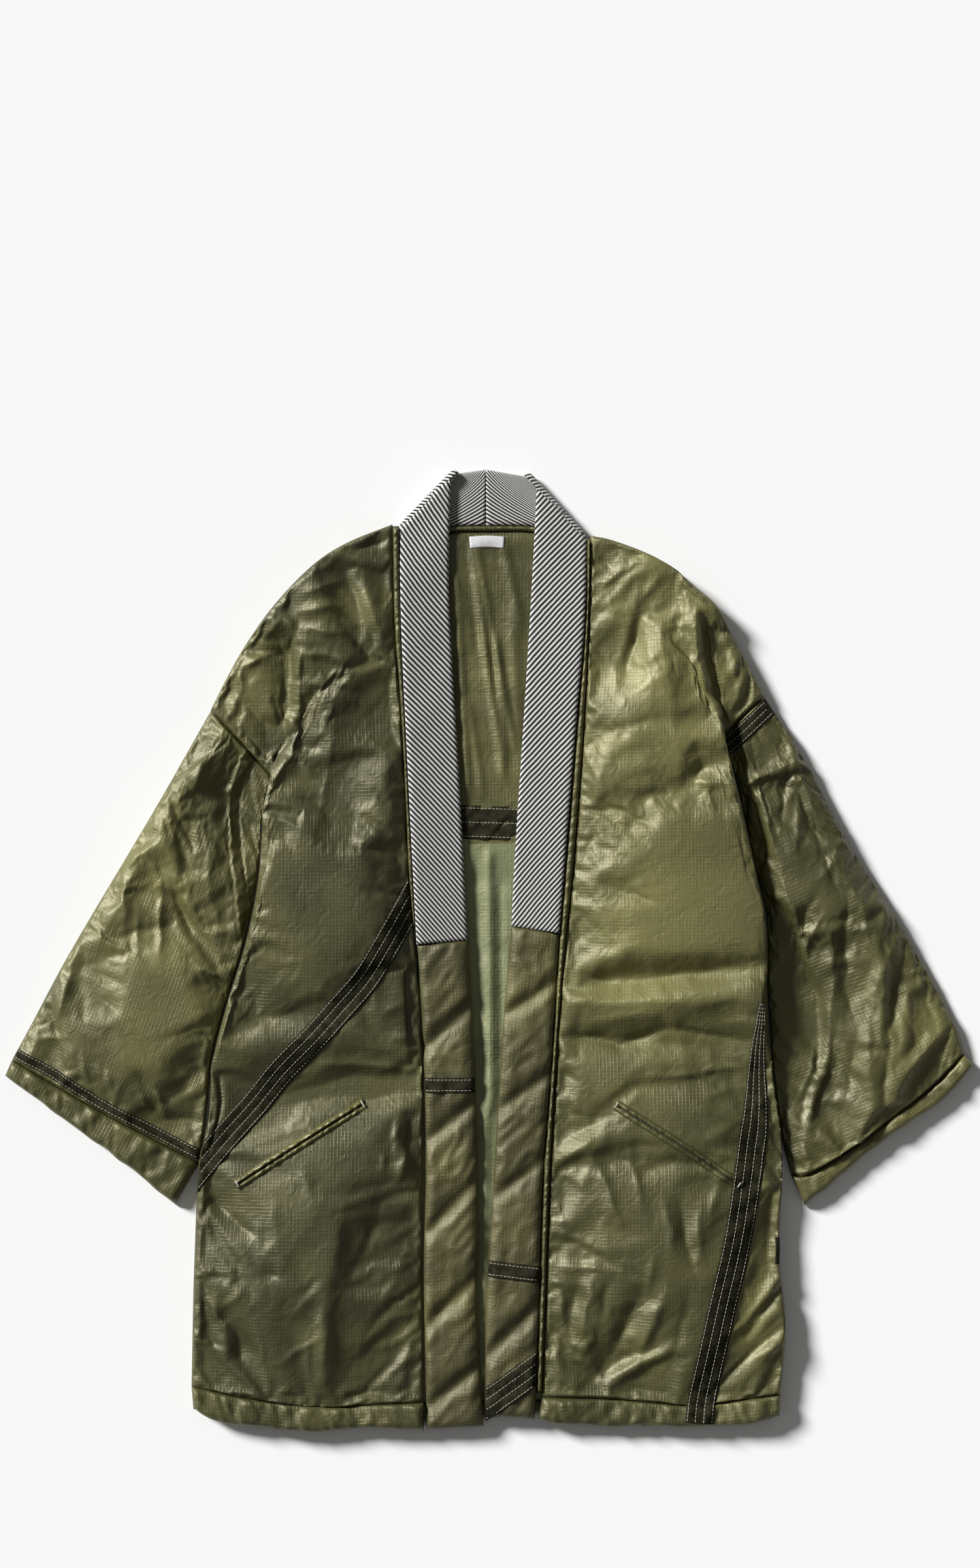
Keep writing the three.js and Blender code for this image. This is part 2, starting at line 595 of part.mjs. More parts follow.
const sleeveColumns = shares(210, 12, true, true);
const leftShift = [-0.74 * SEAM_GAP, -0.68 * SEAM_GAP];
const sleeveLeftEdges = {
  top: moved(sample(OUTLINE.armholeLeft, sleeveColumns), ...leftShift),
  bottom: moved(sample(OUTLINE.cuffSeamLeft, sleeveColumns), ...leftShift),
  left: moved(sample(OUTLINE.sleeveOuterLeft, sleeveRows), ...leftShift),
  right: moved(sample(OUTLINE.sleeveInnerLeft, sleeveRows), ...leftShift),
};
const sleeveLeft = add('sleeve_left', hollowed(panel({
  edges: sleeveLeftEdges,
  base: 0, edgeShare: 0.35, lift: 2, rim: { top: 8, bottom: 6, left: 14, right: 10 },
  height: (x, y) => sleeveHeight(x, y, FOLDS.sleeveLeft, DROP.sleeveLeft, 1),
}), slotBetween(OUTLINE.sleeveOuterLeft, OUTLINE.sleeveInnerLeft, 4)), OLIVE);
const rightShift = [0.69 * SEAM_GAP, -0.73 * SEAM_GAP];
const sleeveRightEdges = {
  top: moved(sample(OUTLINE.armholeRight.toReversed(), sleeveColumns), ...rightShift),
  bottom: moved(sample(OUTLINE.cuffSeamRight, sleeveColumns), ...rightShift),
  left: moved(sample(OUTLINE.sleeveInnerRight, sleeveRows), ...rightShift),
  right: moved(sample(OUTLINE.sleeveOuterRight, sleeveRows), ...rightShift),
};
const sleeveRight = add('sleeve_right', hollowed(panel({
  edges: sleeveRightEdges,
  base: 0, edgeShare: 0.35, lift: 2, rim: { top: 8, bottom: 6, left: 10, right: 14 },
  height: (x, y) => sleeveHeight(x, y, FOLDS.sleeveRight, DROP.sleeveRight, -1),
}), slotBetween(OUTLINE.sleeveOuterRight, OUTLINE.sleeveInnerRight, 4)), OLIVE);

const cuffSlot = (seam, edge) => {
  const ends = [[seam[0], seam.at(-1)], [edge[0], edge.at(-1)]].map(([a, b]) => {
    const inset = SLIT_INSET / a.distanceTo(b);
    return [[a.clone().lerp(b, inset), SLIT_FLOOR.outer], [b.clone().lerp(a, inset), SLIT_FLOOR.inner]];
  });
  const beyond = (end, next) => end.map(([p, z], i) => [p.clone().lerp(next[i][0], -0.4), z]);
  return [beyond(ends[0], ends[1]), beyond(ends[1], ends[0])];
};
const cuffHeight = (x, y, drop, lowSide) => CUFF_HEIGHT - 5 * lowered(x, y, drop, lowSide, 0);
const cuffLeftTop = moved(sample(OUTLINE.cuffSeamLeft, shares(210, 12)), -0.13, -SEAM_GAP - 0.27);
const cuffLeftBottom = sample(OUTLINE.cuffEdgeLeft, shares(210, 12));
add('cuff_left', hollowed(panel({
  edges: {
    top: cuffLeftTop,
    bottom: cuffLeftBottom,
    left: straight(cuffLeftTop[0].toArray(), cuffLeftBottom[0].toArray(), 4),
    right: sample([cuffLeftTop.at(-1).toArray(), [-288, -224], [-298, -241], cuffLeftBottom.at(-1).toArray()],
      [0, 0.25, 0.5, 0.75, 1]),
  },
  base: 0, edgeShare: 0.45, lift: 2, rim: { top: 6, bottom: 9, left: 10, right: 10 },
  height: () => CUFF_HEIGHT,
}), cuffSlot(cuffLeftTop, cuffLeftBottom)), OLIVE);
const cuffRightTop = moved(sample(OUTLINE.cuffSeamRight, shares(210, 12)), 0.13, -SEAM_GAP - 0.27);
const cuffRightBottom = sample(OUTLINE.cuffEdgeRight, shares(210, 12));
add('cuff_right', hollowed(panel({
  edges: {
    top: cuffRightTop,
    bottom: cuffRightBottom,
    left: straight(cuffRightTop[0].toArray(), cuffRightBottom[0].toArray(), 4),
    right: straight(cuffRightTop.at(-1).toArray(), cuffRightBottom.at(-1).toArray(), 4),
  },
  base: 0, edgeShare: 0.45, lift: 2, rim: { top: 6, bottom: 9, left: 10, right: 10 },
  height: () => CUFF_HEIGHT,
}), cuffSlot(cuffRightTop, cuffRightBottom)), OLIVE);

// Collar: a striped band that lies flat behind the neck, turns over at a slanting fold on each side of
// it and runs down the fronts
const at = (x, y) => new THREE.Vector3(x, y, 0);

function collarStations({ neck, fold, outer, inner, levelFrom }) {
  const lowMiddle = COLLAR_WALL / 2;
  const foldMiddle = lowMiddle + 2 * COLLAR_BEND;
  const highMiddle = FRONT_FLOOR + COLLAR_WALL / 2;
  const side = Math.sign(fold.sewn.x);
  const outwards = at(fold.free.y - fold.sewn.y, fold.sewn.x - fold.free.x).multiplyScalar(side).normalize();
  const inset = outwards.clone().multiplyScalar(-(COLLAR_BEND + COLLAR_WALL / 2));
  const low = { sewn: fold.sewn.clone().add(inset), free: fold.free.clone().add(inset) };
  const stations = [];
  for (let k = 0; k < 6; k++) {
    const sewnX = THREE.MathUtils.lerp(neck.x, low.sewn.x, k / 6);
    stations.push({
      sewn: at(sewnX, crossing(OUTLINE.collarSeam, 'x', sewnX)).setZ(lowMiddle),
      free: at(neck.x, neck.freeY).lerp(low.free, k / 6).setZ(lowMiddle),
    });
  }
  for (let k = 0; k <= 6; k++) {
    const angle = Math.PI * (k / 6);
    const reach = outwards.clone().multiplyScalar(COLLAR_BEND * Math.sin(angle));
    reach.z = lowMiddle + COLLAR_BEND * (1 - Math.cos(angle));
    stations.push({ sewn: low.sewn.clone().add(reach), free: low.free.clone().add(reach) });
  }
  const level = (y) => THREE.MathUtils.lerp(highMiddle, foldMiddle, THREE.MathUtils.smoothstep(y, levelFrom, levelFrom + 30));
  const outerLine = curve(outer);
  const innerLine = curve(inner);
  for (let k = 1; k <= 18; k++) {
    const sewn = outerLine.getPointAt(k / 18);
    const free = innerLine.getPointAt(k / 18);
    stations.push({ sewn: sewn.setZ(level(sewn.y)), free: free.setZ(level(free.y)) });
  }
  return stations;
}
const collarLeft = add('collar_left', strip(collarStations({
  neck: { x: -4 - SEAM_GAP / 2, freeY: 472.5 },
  fold: { sewn: at(-90, 418), free: at(-36, 474) },
  outer: OUTLINE.collarOuterLeft,
  inner: OUTLINE.collarInnerLeft,
  levelFrom: 410,
}), 5, COLLAR_WALL), STRIPE);
const collarRight = add('collar_right', strip(collarStations({
  neck: { x: -4 + SEAM_GAP / 2, freeY: 472.5 },
  fold: { sewn: at(95.5, 408), free: at(39, 471) },
  outer: OUTLINE.collarOuterRight,
  inner: OUTLINE.collarInnerRight,
  levelFrom: 402,
}), 5, COLLAR_WALL), STRIPE);

// Collar bands of shell cloth, below the striped ones, with slanting rolls of wadding
const bandRelief = (x, y, rolls) => {
  const low = rolls.reduce((least, [x1, y1, x2, y2]) => {
    const { distance } = nearestOnLine(x, y, [[x1, y1], [x2, y2]]);
    return Math.max(least, Math.exp(-((distance / BAND_STITCH_WIDTH) ** 2)));
  }, 0);
  return -BAND_STITCH_DEPTH * low;
};
const bandRows = (length) => shares(length, 25);
const bandColumns = shares(48, 5);
// Edges of a band from its two long sides
const acrossBand = (left, right) => {
  const spread = (from, to) => bandColumns.map((share) => from.clone().lerp(to, share));
  return { left, right, top: spread(left[0], right[0]), bottom: spread(left.at(-1), right.at(-1)) };
};
const bandLeftEdges = acrossBand(
  sample(OUTLINE.bandOuterLeft, bandRows(476)), sample(OUTLINE.bandInnerLeft, bandRows(476)));
const bandRightEdges = acrossBand(
  sample(OUTLINE.bandInnerRight, bandRows(478)), sample(OUTLINE.bandOuterRight, bandRows(478)));
const bandLeft = add('band_left', panel({
  edges: bandLeftEdges,
  base: FRONT_FLOOR, rim: { top: 8, bottom: 10, left: 10, right: 12 },
  height: (x, y) => BAND_HEIGHT + bandRelief(x, y, BAND_STITCHES.left),
}), OLIVE);
const bandRight = add('band_right', panel({
  edges: bandRightEdges,
  base: FRONT_FLOOR, rim: { top: 8, bottom: 10, left: 12, right: 10 },
  height: (x, y) => BAND_HEIGHT + bandRelief(x, y, BAND_STITCHES.right),
}), OLIVE);

// Piping: a thin roll of shell cloth in the seams between the collar and the body
function piping(leftEdge, rightEdge, base, height) {
  const spread = (from, to) => [0, 0.3, 0.7, 1].map((share) => from.clone().lerp(to, share));
  return panel({
    edges: {
      top: spread(leftEdge[0], rightEdge[0]),
      bottom: spread(leftEdge.at(-1), rightEdge.at(-1)),
      left: leftEdge,
      right: rightEdge,
    },
    base, rim: { top: 3, bottom: 3, left: 2, right: 2 }, height: () => height, edgeShare: 0.4, lift: 0.8,
  });
}
const partOf = (points, count, from, to) => {
  const line = curve(points);
  return Array.from({ length: count + 1 }, (_, i) => line.getPointAt(from + (to - from) * (i / count)));
};
const leftSeam = partOf(OUTLINE.frontEdgeLeft, 18, 0.002, 0.46);
add('piping_left', piping(
  moved(leftSeam, SEAM_GAP, 0),
  leftSeam.map((p) => at(crossing(OUTLINE.collarOuterLeft, 'y', p.y) - SEAM_GAP, p.y)),
  FRONT_FLOOR, PIPING_HEIGHT), OLIVE);
const rightSeam = partOf(OUTLINE.frontEdgeRight, 30, 0.004, 0.995);
const collarRightOuter = [...OUTLINE.collarOuterRight, ...OUTLINE.bandOuterRight];
add('piping_right', piping(
  rightSeam.map((p) => at(crossing(collarRightOuter, 'y', p.y) + 2 * SEAM_GAP, p.y)),
  moved(rightSeam, -SEAM_GAP, 0),
  FRONT_FLOOR, PIPING_HEIGHT), OLIVE);
const neckShares = Array.from({ length: 13 }, (_, i) => -64 + 120 * (i / 12));
add('piping_neck', piping(
  neckShares.map((x) => at(x, crossing(OUTLINE.neck, 'x', x) + 2 * SEAM_GAP)),
  neckShares.map((x) => at(x, crossing(OUTLINE.collarSeam, 'x', x) - 2 * SEAM_GAP)),
  0, PIPING_HEIGHT), OLIVE);

// Pockets: a welt sewn over each slanting opening
const pocketLeft = add('pocket_left', sewnOn({
  hosts: [frontLeft], path: [[-248, -229], [-186, -189], [-123, -150]], width: 11, wall: WELT_WALL, steps: 16,
}), OLIVE);
const pocketRight = add('pocket_right', sewnOn({
  hosts: [frontRight], path: [[122, -150], [184, -189], [245, -230]], width: 11, wall: WELT_WALL, steps: 16,
}), OLIVE);

// Tapes sewn on with rows of stitches, and the blank label in the neck
add('tape_front_left', sewnOn({
  hosts: [frontLeft],
  path: [[-66, 70], [-88, 29], [-104, 1], [-122, -28], [-147, -57], [-173, -86], [-205, -119], [-230, -150],
    [-256, -179], [-279, -206]],
  width: 27, wall: TAPE_WALL, steps: 20, within: inset(frontLeftEdges),
}), BLACK);
add('tape_front_right', sewnOn({
  hosts: [frontRight, hemRight, pocketRight],
  path: [[266, -50], [262, -92], [260, -156], [253, -214], [242, -284], [227, -348], [216, -399], [207, -444],
    [205, -463]],
  width: (share) => Math.min(8 + 150 * share, 28), wall: TAPE_WALL, steps: 28, across: 3,
  bridge: 7,
}), BLACK);
add('tape_sleeve_right', sewnOn({
  hosts: [sleeveRight], path: [[236, 203], [272, 237]], width: 17, wall: TAPE_WALL, steps: 5,
  within: sleeveRightEdges,
}), BLACK);
add('tape_cuff_left', sewnOn({
  hosts: [sleeveLeft], path: [[-466, -101], [-430, -120], [-391, -145], [-348, -168], [-290, -198]],
  width: 10, wall: TAPE_WALL, steps: 16, within: sleeveLeftEdges,
}), BLACK);
add('tape_band_left', sewnOn({
  hosts: [bandLeft], path: [[-70, -132], [-8, -132]], width: 15, wall: TAPE_WALL, steps: 8,
  within: inset(bandLeftEdges),
}), BLACK);
add('tape_band_right', sewnOn({
  hosts: [bandRight], path: [[-8, -311], [56, -318]], width: 16, wall: TAPE_WALL, steps: 8,
  within: inset(bandRightEdges),
}), BLACK);
add('tape_band_right_low', sewnOn({
  hosts: [bandRight], path: [[-16, -453], [58, -400]], width: 28, wall: TAPE_WALL, steps: 10,
  within: inset(bandRightEdges),
}), BLACK);
add('tape_back', sewnOn({
  hosts: [back], path: [[-33, 126], [33, 124]], width: 33, wall: 1.1, steps: 16, across: 3,
}), BLACK);
add('label', sewnOn({
  hosts: [back], path: [[-20, 400.5], [-3, 401.5], [14, 400.5]], width: 11.5, wall: LABEL_WALL, steps: 10,
}), WHITE);

const centre = new THREE.Box3().setFromObject(garment);
garment.position.set(-(centre.min.x + centre.max.x) / 2, -(centre.min.y + centre.max.y) / 2, -centre.min.z);

export default garment;
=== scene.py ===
"""A padded hanten laid flat on its back: the cloth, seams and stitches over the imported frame."""
import math
import bpy
import numpy as np
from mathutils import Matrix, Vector
from mathutils.bvhtree import BVHTree


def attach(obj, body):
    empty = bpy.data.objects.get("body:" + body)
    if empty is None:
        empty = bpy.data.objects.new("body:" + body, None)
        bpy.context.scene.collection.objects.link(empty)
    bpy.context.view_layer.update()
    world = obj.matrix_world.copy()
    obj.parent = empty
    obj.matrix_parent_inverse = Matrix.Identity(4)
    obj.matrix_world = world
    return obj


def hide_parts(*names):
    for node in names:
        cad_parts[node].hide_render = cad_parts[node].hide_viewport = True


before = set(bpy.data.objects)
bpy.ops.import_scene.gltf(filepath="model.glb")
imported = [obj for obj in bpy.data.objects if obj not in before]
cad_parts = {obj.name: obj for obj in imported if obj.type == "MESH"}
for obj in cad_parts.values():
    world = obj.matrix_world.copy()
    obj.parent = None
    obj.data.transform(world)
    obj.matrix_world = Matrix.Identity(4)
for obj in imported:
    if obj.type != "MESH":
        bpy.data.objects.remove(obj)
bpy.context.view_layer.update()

# Studio
# A white table seen from straight above. One low, soft sun stands on the left, so every fold of the
# cloth has a lit side and a dark one, and the dim white room fills the shadows a little.
# Lengths here are metres: PIXEL is one pixel of the photo, and MIDDLE_ROW its row at the part's origin
PIXEL = 0.64e-3
PHOTO_HEIGHT = 2400
MIDDLE_ROW = 1456
LENS = 85.0
FILM = 36.0
FOCUS_LEVEL = 0.02
FARTHEST = 50
AIM_Y = (MIDDLE_ROW - PHOTO_HEIGHT / 2) * PIXEL
TABLE_WHITE = "#f6f6f6"
TABLE_REACH = 4
TABLE_DROP = 0.0004
ROOM_WHITE = "#f6f6f4"
ROOM_STRENGTH = 0.17
SUN_WIDTH = 14
SUN_STRENGTH = 5.6
SUN_TURNED = 126
SUN_RAISED = 29


def linear(hex_colour):
    """An sRGB hex value as linear red, green, blue and alpha."""
    parts = [int(hex_colour[i:i + 2], 16) / 255 for i in (1, 3, 5)]
    return [p / 12.92 if p <= 0.04045 else ((p + 0.055) / 1.055) ** 2.4 for p in parts] + [1.0]


def node(material, kind, settings=None, links=None):
    """Adds a node of a kind, with its settings and the sockets that feed its inputs."""
    made = material.node_tree.nodes.new(kind)
    for name, value in (settings or {}).items():
        if isinstance(name, str) and hasattr(made, name):
            setattr(made, name, value)
        else:
            made.inputs[name].default_value = value
    for name, source in (links or {}).items():
        material.node_tree.links.new(source, made.inputs[name])
    return made


def new_material(name):
    """A material with no nodes yet."""
    material = bpy.data.materials.new(name)
    material.use_nodes = True
    material.node_tree.nodes.clear()
    return material


def finished(material, shader):
    """Ends a material in its output."""
    node(material, "ShaderNodeOutputMaterial", links={"Surface": shader.outputs[0]})
    return material


camera = bpy.data.objects.new("camera", bpy.data.cameras.new("camera"))
bpy.context.scene.collection.objects.link(camera)
camera.data.lens = LENS
camera.data.sensor_width = FILM
camera.data.sensor_fit = "AUTO"
camera.location = (0.0, AIM_Y, LENS / FILM * PHOTO_HEIGHT * PIXEL + FOCUS_LEVEL)
camera.data.clip_end = FARTHEST
bpy.context.scene.camera = camera
bpy.context.scene.view_settings.view_transform = "Standard"

table_top = bpy.data.meshes.new("table")
corners = [(x * TABLE_REACH, y * TABLE_REACH, 0) for x, y in ((-1, -1), (1, -1), (1, 1), (-1, 1))]
table_top.from_pydata(corners, [], [(0, 1, 2, 3)])
table = bpy.data.objects.new("table", table_top)
bpy.context.scene.collection.objects.link(table)
table.location.z = -TABLE_DROP
paper = new_material("white paper, matt")
finished(paper, node(paper, "ShaderNodeBsdfPrincipled", {
    "Base Color": linear(TABLE_WHITE), "Roughness": 0.9, "Specular IOR Level": 0.2}))
table.data.materials.append(paper)

world = bpy.data.worlds.new("white room")
bpy.context.scene.world = world
world.use_nodes = True
room = world.node_tree.nodes["Background"]
room.inputs["Color"].default_value = linear(ROOM_WHITE)
room.inputs["Strength"].default_value = ROOM_STRENGTH

sun = bpy.data.objects.new("key", bpy.data.lights.new("key", "SUN"))
bpy.context.scene.collection.objects.link(sun)
sun.data.angle = math.radians(SUN_WIDTH)
sun.data.energy = SUN_STRENGTH
# it stands low on the left, beyond the collar
turned, raised = math.radians(SUN_TURNED), math.radians(SUN_RAISED)
level = math.cos(raised)
towards = Vector((-math.sin(turned) * level, -math.cos(turned) * level, math.sin(raised)))
sun.rotation_euler = towards.to_track_quat("Z", "Y").to_euler()

# Fronts
# Two panels of olive ripstop nylon over wadding, each sewn to the back at the shoulder and side and
# to the collar along its front edge. The light stiff cloth puffs between its seams and creases.
MM = 0.001
# the frame is centred on the garment, a little off the origin of the pattern's own tables
ORIGIN = np.array([0.0, 0.6735, 0.0])
LAYER_GAP = 0.4
BACK_WALL = 9.0
FRONT_FLOOR = BACK_WALL + LAYER_GAP
# Edges of the pieces, in millimetres from the middle of the garment
SHOULDER_LEFT = [(-274, 236), (-259, 266), (-239, 301), (-207, 344), (-170, 381), (-142, 399), (-96, 418)]
SHOULDER_RIGHT = [(99, 407), (118, 403), (167, 383), (207, 352), (223, 337), (242, 301), (269, 250)]
ARMHOLE_LEFT = [(-274, 236), (-215, 172)]
ARMHOLE_RIGHT = [(269, 250), (229, 212)]
SIDE_LEFT = [(-215, 172), (-221, 143), (-227, 68), (-239, 9), (-258, -53), (-272, -109), (-276, -162),
             (-285, -209), (-290, -300), (-293, -428)]
SIDE_RIGHT = [(229, 212), (242, 158), (260, 77), (269, 30), (271, -35), (276, -115), (286, -190),
              (284, -303), (290, -365), (285, -436)]
HEM_SEAM_LEFT = [(-293, -428), (-236, -440), (-157, -448), (-118, -446), (-65, -444)]
HEM_SEAM_RIGHT = [(51, -439), (115, -440), (164, -444), (201, -446), (285, -436)]
FRONT_EDGE_LEFT = [(-96, 418), (-94, 317), (-88, 239), (-84, 164), (-79, 61), (-70, -28), (-66, -147),
                   (-67, -313), (-65, -444)]
FRONT_EDGE_RIGHT = [(99, 407), (98, 342), (93, 228), (82, 81), (72, -17), (61, -182), (54, -358), (51, -439)]
# Rolls and troughs: start, end, half width and height
FOLDS_FRONT_LEFT = [
    (-180, 301, -184, 196, 17, 4), (-211, 141, -221, 36, 15, 4), (-227, 10, -259, -92, 15, 3),
    (-259, -118, -266, -195, 13, 2), (-191, 145, -198, 23, 14, -3), (-173, 362, -141, 292, 16, 2.5),
    (-141, 369, -122, 285, 10, -2.5), (-147, 196, -160, 100, 32, 2), (-96, -15, -102, -92, 19, 2),
    (-157, -252, -162, -412, 12, 3.5), (-211, -284, -176, -323, 18, -4), (-269, -316, -259, -387, 13, 3),
    (-256, -361, -224, -412, 14, -2.5), (-198, -150, -134, -124, 14, -3)]
FOLDS_FRONT_RIGHT = [
    (191, 317, 214, 215, 17, 4), (227, 196, 256, 36, 18, 4.5), (256, 10, 256, -67, 15, 3),
    (118, -28, 257, -19, 12, -3.5), (86, -53, 250, -41, 14, 3.5), (93, -86, 243, -95, 14, -3.5),
    (133, -3, 243, 20, 13, 2.5), (154, 356, 134, 279, 9, -2), (134, 228, 173, 68, 38, 3),
    (109, -195, 134, -284, 19, 2.5), (150, -342, 106, -415, 17, -4), (115, -422, 179, -387, 10, 3),
    (250, -374, 285, -332, 6, -3), (262, -396, 285, -380, 8, 3)]
# The broad swell of each wadded front: a line, its half width and its height
SWELL_FRONT_LEFT = [(-185, 330, -205, 60, 72, 13), (-190, 0, -205, -330, 80, 9)]
SWELL_FRONT_RIGHT = [(182, 320, 208, 60, 72, 14), (205, 20, 190, -330, 80, 9), (243, 150, 264, -80, 30, 7)]
# Sharp creases: start, end, half width and height, which is under 0 in a valley
CREASES_FRONT_LEFT = [
    (-138, 393, -96, 405, 3, -2.0), (-142, 368, -123, 322, 8, -3.5), (-123, 322, -108, 287, 7, -2.5),
    (-125, 378, -106, 302, 8, 2.5), (-182, 351, -147, 363, 5, 2.5), (-187, 332, -147, 339, 5, 2.8),
    (-187, 317, -147, 310, 5, 2.6), (-184, 290, -147, 287, 4, 2.0), (-171, 372, -150, 384, 5, 1.8),
    (-201, 327, -189, 310, 6, 3.0), (-189, 310, -193, 248, 6, 3.2), (-193, 248, -196, 199, 6, 3.0),
    (-204, 324, -226, 302, 5, 3.0), (-226, 302, -206, 292, 4, 2.4), (-214, 292, -243, 278, 4, 3.0),
    (-243, 278, -245, 251, 4, 3.0), (-245, 251, -260, 226, 5, 2.6), (-206, 263, -209, 243, 4, 2.6),
    (-209, 243, -201, 224, 4, 2.4), (-243, 248, -226, 226, 6, -3.0), (-226, 226, -196, 204, 7, -3.5),
    (-202, 172, -187, 185, 10, 2.5), (-187, 185, -172, 168, 8, 2.5), (-200, 158, -180, 150, 6, 2.0),
    (-216, 131, -179, 118, 6, 3.0), (-218, 112, -202, 104, 7, -3.0), (-205, 96, -214, 40, 8, 1.8),
    (-150, 224, -172, 106, 6, 1.2), (-118, 116, -126, 90, 6, 1.0), (-160, 260, -165, 220, 8, 0.8),
    (-256, -50, -242, -67, 6, 3.2), (-256, -50, -262, -90, 7, 2.4), (-236, -40, -214, -70, 12, -2.5),
    (-163, -112, -90, -113, 6, 2.6), (-118, -122, -90, -113, 5, 1.6), (-86, -12, -72, -22, 5, 2.2),
    (-96, -86, -70, -82, 6, 2.2), (-104, -62, -84, -50, 6, 1.6), (-90, -168, -92, -196, 4, 2.0),
    (-104, -198, -106, -216, 4, 1.6), (-72, -189, -93, -227, 6, 2.8), (-100, -234, -142, -331, 16, -3.6),
    (-145, -255, -156, -314, 9, 2.6), (-163, -244, -201, -300, 7, 2.6), (-228, -272, -225, -310, 5, 2.6),
    (-274, -241, -256, -262, 8, -3.6), (-256, -262, -228, -280, 8, -3.4), (-228, -280, -225, -314, 8, -3.6),
    (-225, -314, -204, -318, 9, -3.0), (-152, -310, -190, -355, 5, 2.2), (-280, -255, -274, -279, 5, 2.4),
    (-284, -328, -249, -383, 7, 3.2), (-275, -300, -262, -322, 6, -2.0), (-249, -376, -242, -407, 7, -3.2),
    (-228, -376, -215, -432, 5, 2.2), (-180, -383, -176, -425, 5, 1.6), (-161, -341, -163, -418, 8, 2.0),
    (-211, -407, -156, -373, 3, 1.4), (-212, -250, -206, -292, 6, 1.8), (-132, -150, -100, -142, 8, -2.2),
    (-83, -300, -108, -352, 8, 1.4), (-78, -390, -90, -430, 6, 1.4), (-262, -400, -280, -372, 6, -2.2),
    (-120, -270, -132, -300, 5, 1.5), (-186, -214, -168, -250, 6, 1.6), (-240, -330, -262, -352, 5, 1.8)]
CREASES_FRONT_RIGHT = [
    (165, 368, 151, 344, 6, 2.4), (145, 314, 138, 292, 4, -2.0), (138, 292, 131, 268, 4, -1.6),
    (123, 282, 122, 253, 5, 1.6), (131, 380, 107, 351, 5, 2.2), (112, 384, 120, 372, 5, -2.2),
    (118, 398, 160, 383, 3, -1.6), (163, 334, 185, 175, 14, 2.2), (150, 330, 158, 250, 7, 1.4),
    (202, 329, 205, 302, 7, 3.4), (205, 302, 214, 263, 7, 3.2), (214, 263, 229, 207, 7, 2.8),
    (236, 296, 244, 262, 5, 2.6), (250, 270, 236, 238, 5, 2.0), (220, 330, 232, 300, 5, 1.8),
    (195, 204, 214, 192, 6, -2.6), (214, 184, 200, 168, 6, -2.4), (198, 166, 229, 165, 5, 2.6),
    (124, 104, 151, 133, 9, -1.8), (99, 67, 165, 45, 8, -2.6), (107, 178, 110, 158, 5, 1.4),
    (92, 140, 97, 96, 7, 1.6), (117, 64, 165, 47, 5, -1.6), (85, -22, 127, -33, 9, -3.0),
    (127, -33, 245, -14, 9, -3.0), (110, -8, 150, 10, 10, 2.0), (78, -50, 252, -47, 10, 2.6),
    (78, -50, 120, -40, 4, 1.4), (85, -81, 127, -93, 5, -3.6), (127, -93, 172, -76, 6, -3.8),
    (172, -76, 252, -88, 6, -3.2), (100, -68, 170, -60, 8, 2.2), (141, -126, 252, -113, 4, 2.0),
    (68, -140, 85, -154, 5, 2.6), (66, -118, 84, -128, 5, -2.0), (72, -164, 86, -158, 4, -1.8),
    (96, -192, 127, -265, 6, 2.6), (112, -176, 86, -246, 6, 1.8), (68, -203, 106, -182, 6, 2.6),
    (134, -186, 150, -250, 6, 1.8), (186, -244, 196, -307, 7, -3.0), (206, -250, 202, -300, 6, 2.6),
    (172, -248, 180, -296, 5, 2.2), (60, -310, 128, -314, 5, 2.8), (66, -318, 74, -372, 5, 2.4),
    (88, -322, 76, -378, 6, -2.6), (100, -320, 90, -374, 5, 2.6), (117, -324, 106, -366, 6, -2.2),
    (155, -321, 110, -418, 12, -4.2), (172, -334, 142, -406, 6, 3.0), (120, -418, 169, -394, 4, 2.0),
    (112, -408, 150, -392, 4, -1.6), (196, -336, 178, -402, 7, -2.0), (252, -366, 280, -338, 5, -3.2),
    (266, -397, 283, -383, 5, 2.4), (248, -330, 256, -300, 5, 1.8), (262, -200, 276, -232, 5, 2.0),
    (212, -186, 240, -170, 8, 1.8), (214, -140, 240, -136, 5, 2.0), (160, -300, 150, -340, 5, 2.0),
    (226, -222, 214, -262, 5, 2.2), (66, -240, 74, -290, 6, 1.4), (60, -400, 70, -430, 6, 1.8)]
# The line on each front beyond which it lies low, beside its armhole
DROP_FRONT_LEFT = [(-187, 326), (-191, 285), (-194, 230), (-199, 194), (-215, 172)]
DROP_FRONT_RIGHT = [(204, 337), (204, 310), (211, 273), (220, 236), (229, 212)]
FRONT_HEIGHT = 8.5
FRONT_LOW = 6.5
FRONT_ACROSS = 250
CLOTH_TOP = 38.5
# The step between the places of a settled panel, and the closer places on a panel's round rim
SIM_STEP = 5.0
RIM_PLACES = [0, 0.8, 2.0, 3.8]
# How the cloth settles: growth between its seams, air pressure under it, frames and bending stiffness
GROWTH = 0.03
PRESSURE = 0.35
FRAMES = 26
BENDING = 0.12
FOOT_INSET = 1.2
SHELL_OLIVE = "#454525"
SHELL_SHADE = "#36361b"
RIPSTOP_MM = 3.4
# Places painted paler, as painted sheen where the nylon catches the light: x, y, half width, half height,
# share
PAINTED_SHEEN = [
    (175, 250, 75, 190, 1.0), (150, -20, 95, 110, 0.8), (-326, 20, 75, 150, 0.75), (-240, 270, 45, 60, 0.5),
    (430, -60, 50, 60, 0.6), (0, 230, 60, 150, 0.3), (-40, -250, 26, 110, 0.35),
    (-120, 330, 50, 60, 0.35), (255, -330, 25, 90, 0.6),
    (335, -215, 40, 26, 0.6), (425, -155, 45, 30, 0.6)]


